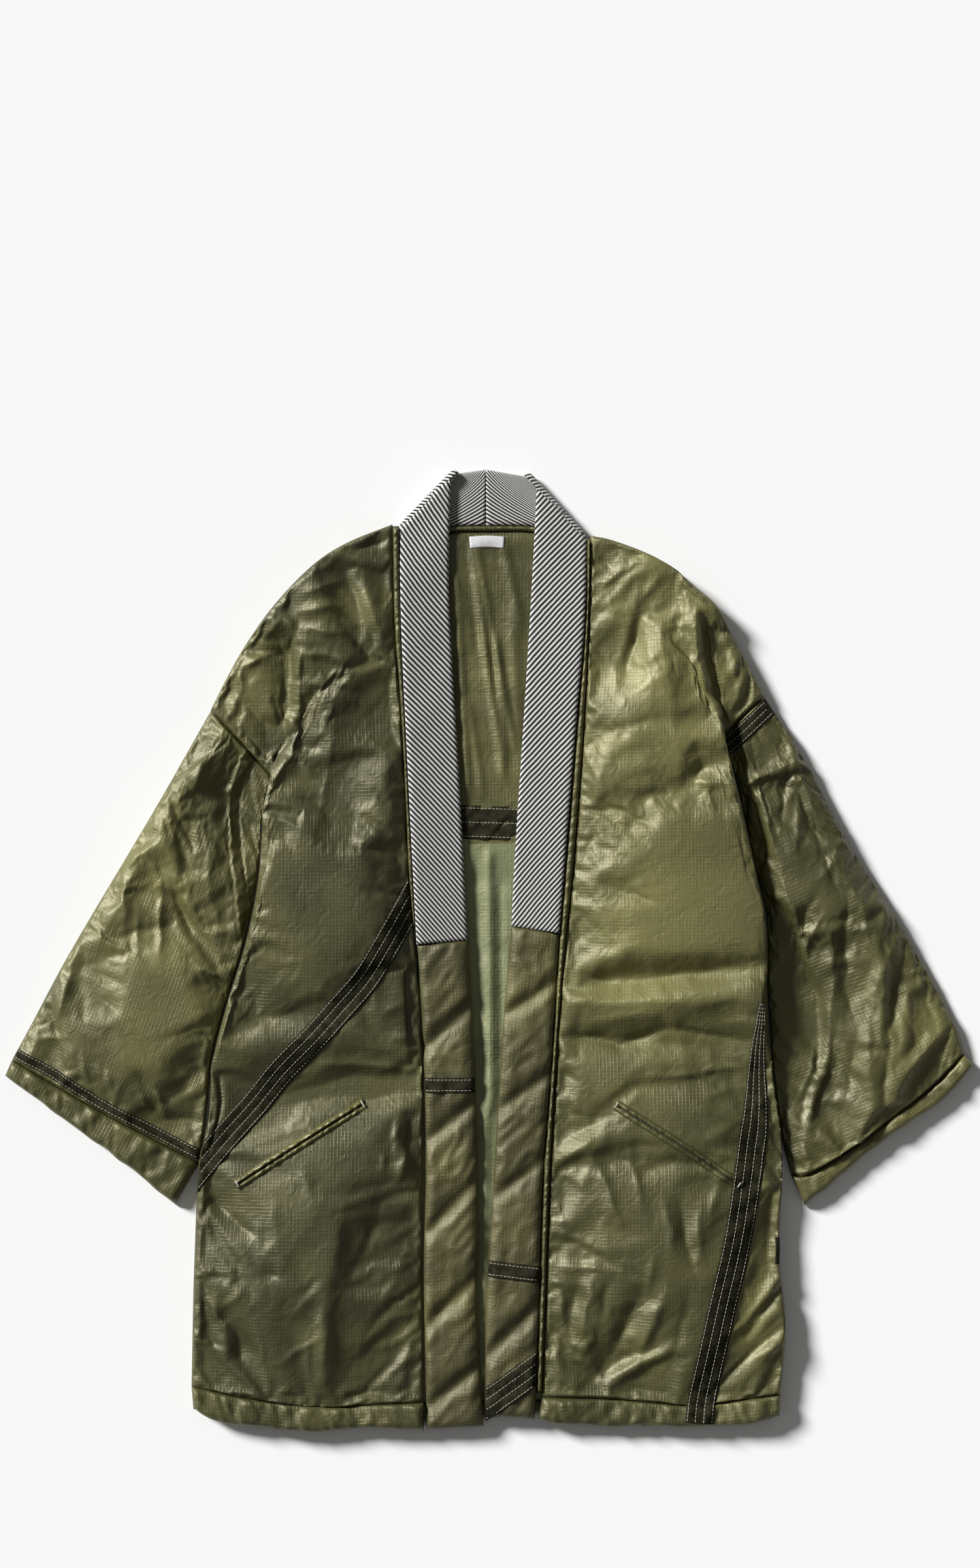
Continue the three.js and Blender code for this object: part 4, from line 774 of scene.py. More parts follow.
def band_grid(seam, edge, floor, height, seed, rim, step=2.5, pucker=2.4, spacing=10.0, scallop=2.0):
    """A narrow padded band between a seam and an edge, with puckers that cross it. scallop is how far
    they draw the edge in."""
    depth = float(np.median(np.linalg.norm(seam - edge, axis=1)))
    rows = steps(depth, step)
    left = seam[0] + (edge[0] - seam[0]) * rows[:, None]
    right = seam[-1] + (edge[-1] - seam[-1]) * rows[:, None]
    xy = between(seam, edge, left, right)
    run = (run_shares(seam) * np.linalg.norm(np.diff(seam, axis=0), axis=1).sum())[None, :]
    down = rows[:, None] * depth
    lean = 0.5 * waves(run / 3, 0 * run, 12, seed) + 0.35
    folds = waves(run + lean * down, 0.25 * down, spacing, seed + 1)
    folds = folds + 0.6 * waves(run - 0.4 * down, 0.4 * down, spacing * 0.5, seed + 2)
    z = height * rim_share(xy, **rim)
    z = z + pucker * folds * np.clip(down / 3, 0, 1) * rounded(np.clip(depth - down, 0, None), 6)
    inwards = (seam - edge) / np.linalg.norm(seam - edge, axis=1, keepdims=True)
    drawn = scallop * (0.5 + 0.5 * waves(run[0], 0 * run[0], spacing * 1.6, seed + 4)) * rows[:, None] ** 2
    drawn[:, [0, -1]] = 0
    xy = xy + inwards[None] * drawn[..., None]
    z = z + 0.8 * waves(run + 0 * down, down, 30, seed + 3)
    return np.dstack([xy, floor + np.clip(z, 1.8, None)])


hem_rim = dict(top=(5, 0.55), bottom=(8, 0.35), left=(6, 0.4), right=(6, 0.4))
back_hem_rim = dict(top=(5, 0.5), bottom=(9, 0.45), left=(6, 0.5), right=(6, 0.5))
hem_shares = steps(HEM_LENGTH, BAND_STEP)
hems = {}
for name, seam, edge, seed in (
        ("hem_left", HEM_SEAM_LEFT, HEM_EDGE_LEFT, 201), ("hem_right", HEM_SEAM_RIGHT, HEM_EDGE_RIGHT, 211)):
    hem_grid = band_grid(smooth_line(seam, hem_shares) - [0, HEM_GAP], smooth_line(edge, hem_shares),
                         FRONT_FLOOR, HEM_HEIGHT, seed, hem_rim)
    hems[name] = panel(name, hem_grid, FRONT_FLOOR, shell_cloth)
back_hem_grid = band_grid(back_hem - [0, HEM_GAP], smooth_line(HEM_EDGE_BACK, back_hem_shares), 0,
                          BACK_WALL, 221, back_hem_rim, pucker=0.8)
panel("hem_back", back_hem_grid, 0, shell_cloth, 2.0)

# Sleeves
# Two wide tubes of the same wadded nylon, pressed flat and sewn to the body round the armholes. They
# lie lower where the body drags them down at the armpit.
SLEEVE_OUTER_LEFT = [(-274, 236), (-325, 146), (-403, 15), (-424, -22), (-452, -75), (-470, -108)]
SLEEVE_INNER_LEFT = [(-215, 172), (-223, 141), (-229, 68), (-241, 9), (-260, -53), (-274, -109), (-279, -162),
                     (-286, -209)]
CUFF_SEAM_LEFT = [(-470, -108), (-394, -152), (-351, -175), (-286, -209)]
SLEEVE_OUTER_RIGHT = [(269, 250), (304, 195), (356, 100), (406, 21), (459, -78), (466, -102)]
SLEEVE_INNER_RIGHT = [(229, 212), (244, 158), (262, 77), (272, 30), (273, -35), (278, -115), (288, -190),
                      (296, -221)]
CUFF_SEAM_RIGHT = [(296, -221), (307, -222), (360, -191), (397, -163), (434, -134), (466, -102)]
FOLDS_SLEEVE_LEFT = [
    (-269, 209, -320, 106, 17, 3), (-342, 93, -374, 10, 14, 3), (-320, 138, -294, 81, 9, -2.5),
    (-282, 132, -269, 23, 13, 3.5), (-307, 49, -269, -15, 9, -2.5), (-269, -28, -240, -67, 8, -3),
    (-352, -67, -326, -124, 12, 2.5), (-416, -41, -410, -118, 12, 2.5)]
FOLDS_SLEEVE_RIGHT = [
    (272, 170, 314, 23, 14, 3), (301, 170, 346, 36, 10, -2.5), (346, -15, 336, -143, 14, 3),
    (358, 23, 371, -92, 13, -3), (410, -41, 397, -143, 10, 2.5), (442, -92, 390, -156, 9, -2.5)]
SWELL_SLEEVE_LEFT = [(-292, 160, -320, -60, 55, 9), (-320, -60, -350, -130, 60, 6)]
SWELL_SLEEVE_RIGHT = [(288, 170, 330, 20, 50, 9), (330, 20, 335, -150, 55, 9)]
# The line on each sleeve beyond which it lies low, beside the body
DROP_SLEEVE_LEFT = [(-227, 215), (-240, 186), (-251, 150), (-250, 100), (-243, 36), (-239, -3)]
DROP_SLEEVE_RIGHT = [(239, 236), (246, 198), (257, 173), (288, 55), (308, -10), (323, -41), (327, -84),
                     (323, -115), (310, -150), (305, -182), (304, -222)]
SLEEVE_HEIGHT = 14.0
SLEEVE_LOW = 8.0
SLEEVE_TOP = 30
SLEEVE_ACROSS = 200
SLEEVE_DOWN = 400
SLEEVE_STEP = 4.5
# How far each sleeve is moved off the body, in x and y, to leave the seam's gap
SLEEVE_GAP_LEFT = [-0.22, -0.2, 0, 0, 0]
SLEEVE_GAP_RIGHT = [0.21, -0.22, 0, 0, 0]
CREASES_SLEEVE_LEFT = [
    (-304, 172, -284, 145, 6, -3.0), (-313, 149, -291, 103, 6, -3.2), (-323, 149, -304, 96, 6, 3.0),
    (-336, 97, -323, 64, 4, 2.4), (-323, 64, -323, -11, 4, 2.4), (-336, 100, -356, 80, 5, 2.4),
    (-356, 80, -359, 15, 6, 2.2), (-310, 57, -291, 12, 6, -3.2), (-303, 60, -288, 20, 5, 2.6),
    (-405, -5, -421, -50, 5, 2.8), (-421, -50, -424, -70, 5, 2.2), (-392, -20, -362, -34, 7, -2.4),
    (-386, -44, -362, -60, 7, -2.2), (-382, -73, -333, -76, 6, 3.0), (-362, -83, -349, -112, 5, 2.8),
    (-326, -90, -271, -70, 7, -3.4), (-330, -80, -276, -60, 6, 2.2), (-349, -116, -323, -138, 6, -2.8),
    (-326, -135, -320, -161, 5, 3.2), (-294, -24, -255, -47, 6, -3.2), (-290, -12, -250, -34, 5, 2.0),
    (-320, -165, -284, -168, 6, -2.4), (-418, -98, -416, -118, 4, 2.2), (-376, -115, -372, -136, 4, 2.2),
    (-440, -88, -418, -84, 5, 2.6), (-398, -110, -392, -128, 4, 1.8), (-300, -120, -280, -112, 6, -2.6),
    (-296, -140, -276, -128, 6, 2.2), (-282, 190, -292, 150, 6, 2.2), (-270, 150, -268, 90, 7, 1.8),
    (-345, 40, -342, -20, 6, 1.6), (-308, -30, -306, -70, 5, 1.8), (-276, 60, -262, 20, 6, 1.8),
    (-372, 40, -384, 10, 6, 1.6), (-342, -140, -334, -158, 4, 2.0), (-258, 190, -262, 120, 10, -2.5)]
CREASES_SLEEVE_RIGHT = [
    (247, 194, 266, 139, 6, 2.6), (266, 139, 276, 106, 6, 2.4), (294, 185, 283, 129, 4, -2.2),
    (302, 139, 299, 90, 7, 2.4), (335, 84, 299, 44, 6, 3.2), (332, 48, 309, 2, 5, 3.0),
    (318, 60, 304, 26, 6, -2.4), (335, 18, 335, -34, 8, 3.2), (335, -34, 332, -99, 8, 3.4),
    (332, -99, 312, -165, 7, 3.0), (348, 57, 348, -34, 8, -3.6), (348, -34, 355, -67, 8, -3.0),
    (364, 51, 374, -1, 6, 2.4), (400, -21, 390, -83, 4, -2.6), (390, -83, 384, -168, 4, -2.6),
    (397, 8, 371, -47, 6, 2.8), (443, -80, 397, -132, 7, 3.4), (430, -76, 396, -116, 5, -1.8),
    (404, -60, 420, -90, 5, -1.8), (372, -50, 368, -130, 6, 1.8), (356, -90, 350, -150, 6, -2.0),
    (320, -176, 344, -196, 6, 2.0), (312, 110, 330, 92, 5, 1.8), (386, -96, 394, -124, 4, 1.8),
    (290, 60, 300, 20, 6, 2.0), (300, -190, 316, -206, 5, 1.8)]


def sleeve_grid(top, bottom, left, right, folds, drop, low_side, seed, rim, hand):
    """The dressed places of a sleeve between its armhole, cuff and two long edges."""
    across = steps(SLEEVE_ACROSS, SLEEVE_STEP)
    down = steps(SLEEVE_DOWN, SLEEVE_STEP)
    xy = between(smooth_line(top, across), smooth_line(bottom, across),
                 smooth_line(left, down), smooth_line(right, down))
    full = SLEEVE_HEIGHT + rolls(xy, folds) - SLEEVE_LOW * lowered(xy, drop, low_side, 0)
    z = np.maximum(full, SLEEVE_LOW) * rim_share(xy, **rim)
    return dressed(cloth_settled(np.dstack([xy, z])), 0, seed, hand, 0.4, SLEEVE_TOP)


sleeve_left_grid = sleeve_grid(
    ARMHOLE_LEFT, CUFF_SEAM_LEFT, SLEEVE_OUTER_LEFT, SLEEVE_INNER_LEFT,
    FOLDS_SLEEVE_LEFT + SWELL_SLEEVE_LEFT, DROP_SLEEVE_LEFT, 1,
    301, dict(top=(5, 0.7), bottom=(5, 0.6), left=(22, 0.3), right=(8, 0.7)),
    CREASES_SLEEVE_LEFT)
sleeve_left = panel("sleeve_left", sleeve_left_grid + SLEEVE_GAP_LEFT, 0, shell_cloth, 2.0, turn=-0.35)
sleeve_right_grid = sleeve_grid(
    ARMHOLE_RIGHT[::-1], CUFF_SEAM_RIGHT, SLEEVE_INNER_RIGHT, SLEEVE_OUTER_RIGHT,
    FOLDS_SLEEVE_RIGHT + SWELL_SLEEVE_RIGHT,
    DROP_SLEEVE_RIGHT, -1, 321, dict(top=(5, 0.7), bottom=(5, 0.6), left=(8, 0.7), right=(22, 0.3)),
    CREASES_SLEEVE_RIGHT)
sleeve_right = panel("sleeve_right", sleeve_right_grid + SLEEVE_GAP_RIGHT, 0, shell_cloth, 2.0,
                     turn=0.42)

# Cuffs
# A folded, wadded band of the shell cloth round the end of each sleeve. Its open end is a flat slit
# between the two walls.
CUFF_EDGE_LEFT = [(-477, -124), (-406, -177), (-365, -207), (-310, -251)]
CUFF_EDGE_RIGHT = [(310, -252), (344, -224), (381, -193), (412, -171), (444, -150), (477, -114)]
CUFF_HEIGHT = 15.0
CUFF_LENGTH = 210
# The slit's shut columns at each end, and its depth
CUFF_SLIT = (6, 12)
cuff_rim = dict(top=(5, 0.6), bottom=(6, 0.5), left=(10, 0.45), right=(10, 0.45))
cuff_shares = steps(CUFF_LENGTH, BAND_STEP)
for name, seam, edge, seam_gap, seed in (
        ("cuff_left", CUFF_SEAM_LEFT, CUFF_EDGE_LEFT, [-0.13, -0.57], 401),
        ("cuff_right", CUFF_SEAM_RIGHT, CUFF_EDGE_RIGHT, [0.13, -0.57], 411)):
    cuff_grid = band_grid(smooth_line(seam, cuff_shares) + seam_gap, smooth_line(edge, cuff_shares), 0,
                          CUFF_HEIGHT, seed, cuff_rim, pucker=1.8)
    panel(name, cuff_grid, 0, shell_cloth, 1.6, slit=CUFF_SLIT)

# Collar
# A band of striped cotton, folded along its free edge and sewn to the neck and the front edges. It
# lies flat behind the neck and turns over at a slanting fold on each side of it.
COLLAR_SEAM = [(-86, 412), (-70, 414.6), (-50, 416.8), (-4, 417.6), (44, 416.8), (62, 413.8), (91, 402.5)]
COLLAR_OUTER_LEFT = [(-89, 417), (-87, 317), (-80, 164), (-72, 6)]
COLLAR_INNER_LEFT = [(-38, 468), (-40, 408), (-40, 342), (-30, 164), (-22, 10)]
COLLAR_OUTER_RIGHT = [(95, 407), (93, 325), (85, 228), (73, 81), (68, 17)]
COLLAR_INNER_RIGHT = [(46, 458), (42, 376), (35, 257), (24, 86), (21, 24)]
COLLAR_WALL = 7.0
COLLAR_BEND = 3.9
COLLAR_TOP = 472.5
# On the fronts the sewn edge stands on the piping, and the free edge sinks a little
SEWN_RISE = 4.5
FREE_SINK = 0.6
STRIPE_MM = 3.26
STRIPE_WHITE = "#e2e1dd"
STRIPE_BLACK = "#101010"


def crossing(points, value):
    """The height y of a line at a given x."""
    line = smooth_line(points, np.linspace(0, 1, 400))
    order = np.argsort(line[:, 0])
    return float(np.interp(value, line[order, 0], line[order, 1]))


def collar_stations(neck_x, fold_sewn, fold_free, outer, inner, level_from):
    """The sewn and free ends of the middle of the collar's wall, from the centre back to its lower end."""
    low = COLLAR_WALL / 2
    fold_middle = low + 2 * COLLAR_BEND
    high = FRONT_FLOOR + COLLAR_WALL / 2
    sewn, free = np.array(fold_sewn, float), np.array(fold_free, float)
    out = np.array([free[1] - sewn[1], sewn[0] - free[0]]) * np.sign(sewn[0])
    out /= np.linalg.norm(out)
    back_by = out * (COLLAR_BEND + COLLAR_WALL / 2)
    low_sewn, low_free = sewn - back_by, free - back_by
    rows = []
    for k in np.linspace(0, 1, 21)[:-1]:
        x = neck_x + (low_sewn[0] - neck_x) * k
        end = np.array([neck_x, COLLAR_TOP]) * (1 - k) + low_free * k
        rows.append(((x, crossing(COLLAR_SEAM, x), low), (*end, low)))
    for angle in np.linspace(0, math.pi, 17):
        reach = out * COLLAR_BEND * math.sin(angle)
        z = low + COLLAR_BEND * (1 - math.cos(angle))
        rows.append(((*(low_sewn + reach), z), (*(low_free + reach), z)))
    shares = np.linspace(0, 1, 121)[1:]
    for a, b in zip(smooth_line(outer, shares), smooth_line(inner, shares)):
        za, zb = (high + (fold_middle - high) * smooth(p[1], level_from, level_from + 30) for p in (a, b))
        on_front = 1 - smooth(a[1], level_from - 60, level_from)
        za += SEWN_RISE * on_front
        zb -= FREE_SINK * on_front
        rows.append(((*a, za), (*b, zb)))
    return np.array(rows)


def collar_piece(name, stations, first_side):
    """A closed strip round the stations; first_side is 1 or -1, the side that is up behind the neck."""
    across = np.concatenate([[0, 0.015, 0.05], np.linspace(0.1, 0.9, 21), [0.94, 0.97, 0.99, 1.0]])
    middle = stations[:, :1] * (1 - across[None, :, None]) + stations[:, 1:] * across[None, :, None]
    along = np.gradient(middle, axis=0)
    over = (stations[:, 1] - stations[:, 0])[:, None]
    normal = np.cross(over, along)
    normal /= np.linalg.norm(normal, axis=-1, keepdims=True)
    width = np.linalg.norm(over, axis=-1)
    run = np.concatenate([[0], np.cumsum(np.linalg.norm(np.diff(middle[:, 12], axis=0), axis=1))])[:, None]
    t = across[None, :] * width
    half = COLLAR_WALL / 2 * (0.3 + 0.7 * rounded(across, 0.10)) * (0.12 + 0.88 * rounded(1 - across, 0.07))
    swell = 0.9 + 0.1 * waves(run + 0 * t, t, 26, 501)
    sides = [middle + side * normal * (half[None, :] * swell)[..., None] for side in (1, -1)]
    rows, columns = middle.shape[:2]
    count = rows * columns
    index = np.arange(count).reshape(rows, columns)
    front = np.stack([index[:-1, :-1], index[:-1, 1:], index[1:, 1:], index[1:, :-1]], -1).reshape(-1, 4)
    behind = front[:, ::-1] + count

    def wall(a, b):
        return np.stack([a[:-1], a[1:], b[1:], b[:-1]], -1)

    faces = [*front, *behind, *wall(index[:, 0], index[:, 0] + count),
             *wall(index[:, -1] + count, index[:, -1]),
             *wall(index[0] + count, index[0]), *wall(index[-1], index[-1] + count)]
    cloth = []
    for side in (1, -1):
        depth = t if side == first_side else 2 * width - t
        cloth.append(np.stack([run + 0 * t, depth, 0 * t], -1).reshape(-1, 3))
    made = piece_from(name + "_cloth", np.vstack([s.reshape(-1, 3) for s in sides]), faces, striped_cloth,
                      np.vstack(cloth), (name,))


def striped(name):
    """Cotton woven in slanting stripes: thick white yarns in ribs, thin black ones in the grooves."""
    m = new_material(name)
    run = node(m, "ShaderNodeAttribute", {"attribute_name": "weave_mm"})
    split = node(m, "ShaderNodeSeparateXYZ", links={"Vector": run.outputs["Vector"]})
    wander = node(m, "ShaderNodeTexNoise", {"Scale": 0.05, "Detail": 2.0}, {"Vector": run.outputs["Vector"]})
    along = node(m, "ShaderNodeMath", {"operation": "MULTIPLY", 1: 0.6}, {0: split.outputs["X"]})
    slant = node(m, "ShaderNodeMath", {"operation": "MULTIPLY_ADD", 1: 0.8}, {
        0: split.outputs["Y"], 2: along.outputs[0]})
    bent = node(m, "ShaderNodeMath", {"operation": "MULTIPLY_ADD", 1: 0.9}, {
        0: wander.outputs[0], 2: slant.outputs[0]})
    turn = node(m, "ShaderNodeMath", {"operation": "DIVIDE", 1: STRIPE_MM}, {0: bent.outputs[0]})
    part = node(m, "ShaderNodeMath", {"operation": "PINGPONG", 1: 0.5}, {0: turn.outputs[0]})
    # broken edges: the yarns pass over and under one another every 0.7 mm
    yarn = node(m, "ShaderNodeTexNoise", {"Scale": 1.1, "Detail": 2.0, "Roughness": 0.6}, {
        "Vector": run.outputs["Vector"]})
    edge = node(m, "ShaderNodeMath", {"operation": "MULTIPLY_ADD", 1: 0.10}, {
        0: yarn.outputs[0], 2: part.outputs[0]})
    mask = node(m, "ShaderNodeMapRange", {
        "interpolation_type": "SMOOTHSTEP", "From Min": 0.27, "From Max": 0.36}, {"Value": edge.outputs[0]})
    fleck = node(m, "ShaderNodeTexNoise", {"Scale": 0.7, "Detail": 4.0}, {"Vector": run.outputs["Vector"]})
    white = node(m, "ShaderNodeMix", {"data_type": "RGBA", 6: linear("#b4b3af"), 7: linear(STRIPE_WHITE)},
                 {0: fleck.outputs[0]})
    colour = node(m, "ShaderNodeMix", {"data_type": "RGBA", 6: linear(STRIPE_BLACK)}, {
        0: mask.outputs[0], 7: white.outputs[2]})
    lift = node(m, "ShaderNodeMath", {"operation": "MULTIPLY_ADD", 1: 0.35}, {
        0: yarn.outputs[0], 2: mask.outputs[0]})
    relief = node(m, "ShaderNodeBump", {"Strength": 0.6, "Distance": 0.0005}, {"Height": lift.outputs[0]})
    return finished(m, node(m, "ShaderNodeBsdfPrincipled", {
        "Roughness": 0.85, "Sheen Weight": 0.25, "Sheen Roughness": 0.6, "Specular IOR Level": 0.25}, {
        "Base Color": colour.outputs[2], "Normal": relief.outputs[0]}))


striped_cloth = striped("cotton, slanting black and white stripes")
collar_piece("collar_left", collar_stations(
    -4.15, (-90, 418), (-36, 474), COLLAR_OUTER_LEFT, COLLAR_INNER_LEFT, 410), 1)
collar_piece("collar_right", collar_stations(
    -3.85, (95.5, 408), (39, 471), COLLAR_OUTER_RIGHT, COLLAR_INNER_RIGHT, 402), -1)

# Lower bands
# Below the stripes the collar goes on in the shell cloth, wadded, and quilted with slanting rows of
# stitches between which it puffs.
BAND_OUTER_LEFT = [(-72, 5.7), (-66, -84), (-63, -209), (-65, -313), (-62, -470)]
BAND_INNER_LEFT = [(-22, 9.7), (-15, -115), (-12, -283), (-13, -348), (-6, -467)]
BAND_OUTER_RIGHT = [(68, 16.7), (60, -115), (52, -223), (48, -358), (44, -460)]
BAND_INNER_RIGHT = [(21, 23.7), (12, -84), (0, -283), (-4, -340), (-5, -456)]
# Quilting rows, each from its start to its end
BAND_STITCHES_LEFT = [(-66, -97, -16, -53), (-62, -186, -13, -148), (-62, -277, -12, -224),
                      (-64, -370, -13, -320), (-62, -448, -8, -407)]
BAND_STITCHES_RIGHT = [(14, -64, 65, -30), (8, -156, 60, -120), (2, -244, 54, -204), (-4, -398, 50, -347)]
BAND_HEIGHT = 10.5
# A quilting row draws the wadding down this far, over this half width
QUILT_DIP = 4.5
QUILT_WIDTH = 7.0
BAND_LENGTH = 476
BAND_WIDTH = 48
QUILT_STEP = 2.6
# the bands' cloth is browner, darker and duller than the shell's
band_cloth = ripstop("nylon ripstop, brown olive, semi-gloss", "#403d20", "#333019", 0.57)


def quilted_band(name, left, right, rows_of_stitches, rim, seed):
    """A wadded band that dips at its quilting rows, gathers beside them and crumples between them."""
    down, across = steps(BAND_LENGTH, QUILT_STEP), steps(BAND_WIDTH, QUILT_STEP)
    a, b = smooth_line(left, down), smooth_line(right, down)
    xy = a[:, None] * (1 - across[None, :, None]) + b[:, None] * across[None, :, None]
    near = np.min([from_line(xy, [(x1, y1), (x2, y2)])[0] for x1, y1, x2, y2 in rows_of_stitches], axis=0)
    dip = QUILT_DIP * np.exp(-(near / QUILT_WIDTH) ** 2)
    x1, y1, x2, y2 = rows_of_stitches[1]
    slant = math.atan2(y2 - y1, x2 - x1)
    c, s = math.cos(slant), math.sin(slant)
    u = xy[..., 0] * c + xy[..., 1] * s
    v = -xy[..., 0] * s + xy[..., 1] * c
    gathers = waves(u, 0.3 * v, 9, seed) * np.exp(-near / 12)
    slacks = creases(np.dstack([u, v]), 19, seed + 1, 0.3, 0.45)
    z = BAND_HEIGHT - dip + 1.1 * gathers + 1.5 * slacks * np.clip(near / 12, 0, 1)
    z = z * rim_share(xy, **rim) + 0.6 * puckers(xy, seed + 2, 1.0, 7, 6)
    grid = np.dstack([xy, FRONT_FLOOR + np.clip(z, 1.8, None)])
    return panel(name, grid, FRONT_FLOOR, band_cloth)


band_left = quilted_band("band_left", BAND_OUTER_LEFT, BAND_INNER_LEFT, BAND_STITCHES_LEFT, dict(
    top=(6, 0.5), bottom=(8, 0.4), left=(8, 0.4), right=(12, 0.35)), 601)
band_right = quilted_band("band_right", BAND_INNER_RIGHT, BAND_OUTER_RIGHT, BAND_STITCHES_RIGHT, dict(
    top=(6, 0.5), bottom=(8, 0.4), left=(12, 0.35), right=(8, 0.4)), 611)

# Piping
# A cord covered with shell cloth, caught in the seam between collar and body. The covering is cut on
# the bias and gathers in slanting ruches.
PIPING_HEIGHT = 8.5
PIPING_GAP = 0.3


def x_at(points, ys):
    """The x of a line at given heights y."""
    line = smooth_line(points, np.linspace(0, 1, 600))
    order = np.argsort(line[:, 1])
    return np.interp(ys, line[order, 1], line[order, 0])


def piping(name, a, b, floor, seed):
    """A ruched roll between two long edges."""
    across = np.array([0, 0.12, 0.28, 0.42, 0.58, 0.72, 0.88, 1])
    xy = a[:, None] * (1 - across[None, :, None]) + b[:, None] * across[None, :, None]
    run = np.concatenate([[0], np.cumsum(np.linalg.norm(np.diff(a, axis=0), axis=1))])[:, None]
    crown = np.sqrt(np.clip(1 - (2 * across - 1) ** 2, 0, 1))[None, :]
    ruche = waves(run + 5 * across[None, :], 0 * run + 0.3 * across[None, :], 3.6, seed)
    ruche = ruche + 0.5 * waves(run + 3 * across[None, :], 0 * run, 1.9, seed + 1)
    ends = np.clip(np.minimum(run, run[-1] - run) / 3, 0.35, 1)
    z = PIPING_HEIGHT * (0.45 + 0.55 * crown) * ends + 0.75 * ruche * crown
    panel(name, np.dstack([xy, floor + z]), floor, shell_cloth, 0.8)


# on the left it shows beside the stripes alone, on the right down to the hem
left_seam = smooth_line(FRONT_EDGE_LEFT, np.linspace(0.002, 0.46, 330))
left_collar_x = x_at(COLLAR_OUTER_LEFT, left_seam[:, 1])
piping("piping_left", left_seam + [PIPING_GAP, 0],
       np.stack([left_collar_x - PIPING_GAP, left_seam[:, 1]], -1), FRONT_FLOOR, 701)
right_seam = smooth_line(FRONT_EDGE_RIGHT, np.linspace(0.004, 0.995, 700))
right_collar_x = x_at(COLLAR_OUTER_RIGHT + BAND_OUTER_RIGHT, right_seam[:, 1])
piping("piping_right", np.stack([right_collar_x + 2 * PIPING_GAP, right_seam[:, 1]], -1),
       right_seam - [PIPING_GAP, 0], FRONT_FLOOR, 711)
neck_x = np.linspace(-64, 56, 110)
below_neck = [crossing(NECK, x) + 2 * PIPING_GAP for x in neck_x]
above_neck = [crossing(COLLAR_SEAM, x) - 2 * PIPING_GAP for x in neck_x]
piping("piping_neck", np.stack([neck_x, below_neck], -1), np.stack([neck_x, above_neck], -1), 0, 721)

# Pockets
# Each slanting pocket mouth is edged with a narrow double lip of the shell cloth, folded over wadding
# and sewn down on both sides of a dark slit.
LIPS_WIDTH = 11
LIPS_WALL = 2.4
# The lips in section: share of their width, and height over the cloth
LIPS = [(0, 0.2), (0.06, 1.6), (0.16, 3.0), (0.28, 3.6), (0.36, 3.2), (0.41, 1.8), (0.43, 0.4), (0.57, 0.4),
        (0.6, 1.5), (0.64, 2.5), (0.76, 2.6), (0.9, 1.5), (1, 0.2)]
SLIT_COLUMN = 6
POCKET_PATHS = {
    "left": [(-248, -229), (-186, -189), (-123, -150)],
    "right": [(122, -150), (184, -189), (245, -230)],
}


def surface_of(*hosts):
    """The height in millimetres of the top of these pieces at a place, or None beside them."""
    points, faces = [], []
    for host in hosts:
        start = len(points)
        points += [v.co.copy() for v in host.data.vertices]
        faces += [[start + i for i in p.vertices] for p in host.data.polygons]
    tree = BVHTree.FromPolygons(points, faces)

    def height(x, y):
        hit = tree.ray_cast(Vector(((x + ORIGIN[0]) * MM, (y + ORIGIN[1]) * MM, 1)), Vector((0, 0, -1)))
        return None if hit[0] is None else hit[0].z / MM

    return height


def cut_off(xy, run, low, high):
    """Shortens each lengthwise line of a strip to the part between two edges, given as x at y."""
    count = np.arange(len(xy))
    out, out_run = xy.copy(), run.copy()
    for j in range(xy.shape[1]):
        x, y = xy[:, j, 0], xy[:, j, 1]
        room = np.minimum(x - low(y), high(y) - x)
        inside = np.flatnonzero(room > 0)
        ends = [inside[0], inside[-1]]
        for n, (k, beyond) in enumerate(((inside[0], inside[0] - 1), (inside[-1], inside[-1] + 1))):
            if 0 <= beyond < len(xy):
                ends[n] = k + (beyond - k) * room[k] / (room[k] - room[beyond])
        at = np.linspace(ends[0], ends[1], len(xy))
        out[:, j, 0], out[:, j, 1] = np.interp(at, count, x), np.interp(at, count, y)
        out_run[:, j] = np.interp(at, count, run[:, j])
    return out, out_run


def ribbon(hosts, path, width, profile, relief=None, smoothing=1, within=None, step=2.0):
    """A thin strip laid on its hosts along a path: its plan, its top, the cloth under it, and how far
    each place lies along and across it. profile lists (share across, height over the cloth)."""
    surface = surface_of(*hosts)
    count = max(int(length_of(path) / step), 4)
    shares = np.linspace(0, 1, count + 1)
    line = smooth_line(path, shares)
    tangent = np.gradient(line, axis=0)
    tangent /= np.linalg.norm(tangent, axis=1, keepdims=True)
    side = np.stack([tangent[:, 1], -tangent[:, 0]], -1)
    widths = np.array([width(s) if callable(width) else width for s in shares])
    across = np.array([p[0] for p in profile])
    xy = line[:, None] + side[:, None] * (widths[:, None] * (across[None, :] - 0.5))[..., None]
    run = np.repeat((shares * length_of(path))[:, None], len(across), axis=1)
    if within is not None:
        xy, run = cut_off(xy, run, *within)
    z = np.array([[surface(x, y) if surface(x, y) is not None else np.nan for x, y in row] for row in xy])
    known = z[~np.isnan(z)]
    z = np.where(np.isnan(z), known.min() if len(known) else FRONT_FLOOR, z)
    for _ in range(smoothing):
        pad = np.pad(z, ((1, 1), (1, 1)), mode="edge")
        soft = (pad[:-2, 1:-1] + pad[2:, 1:-1] + pad[1:-1, :-2] + pad[1:-1, 2:] + 4 * z) / 8
        z = np.maximum(soft, z - 0.3)
    depth = across[None, :] * widths[:, None]
    rise = np.array([p[1] for p in profile])[None, :]
    top = z + rise + (relief(run, depth) if relief else 0)
    return xy, top, z, run, depth


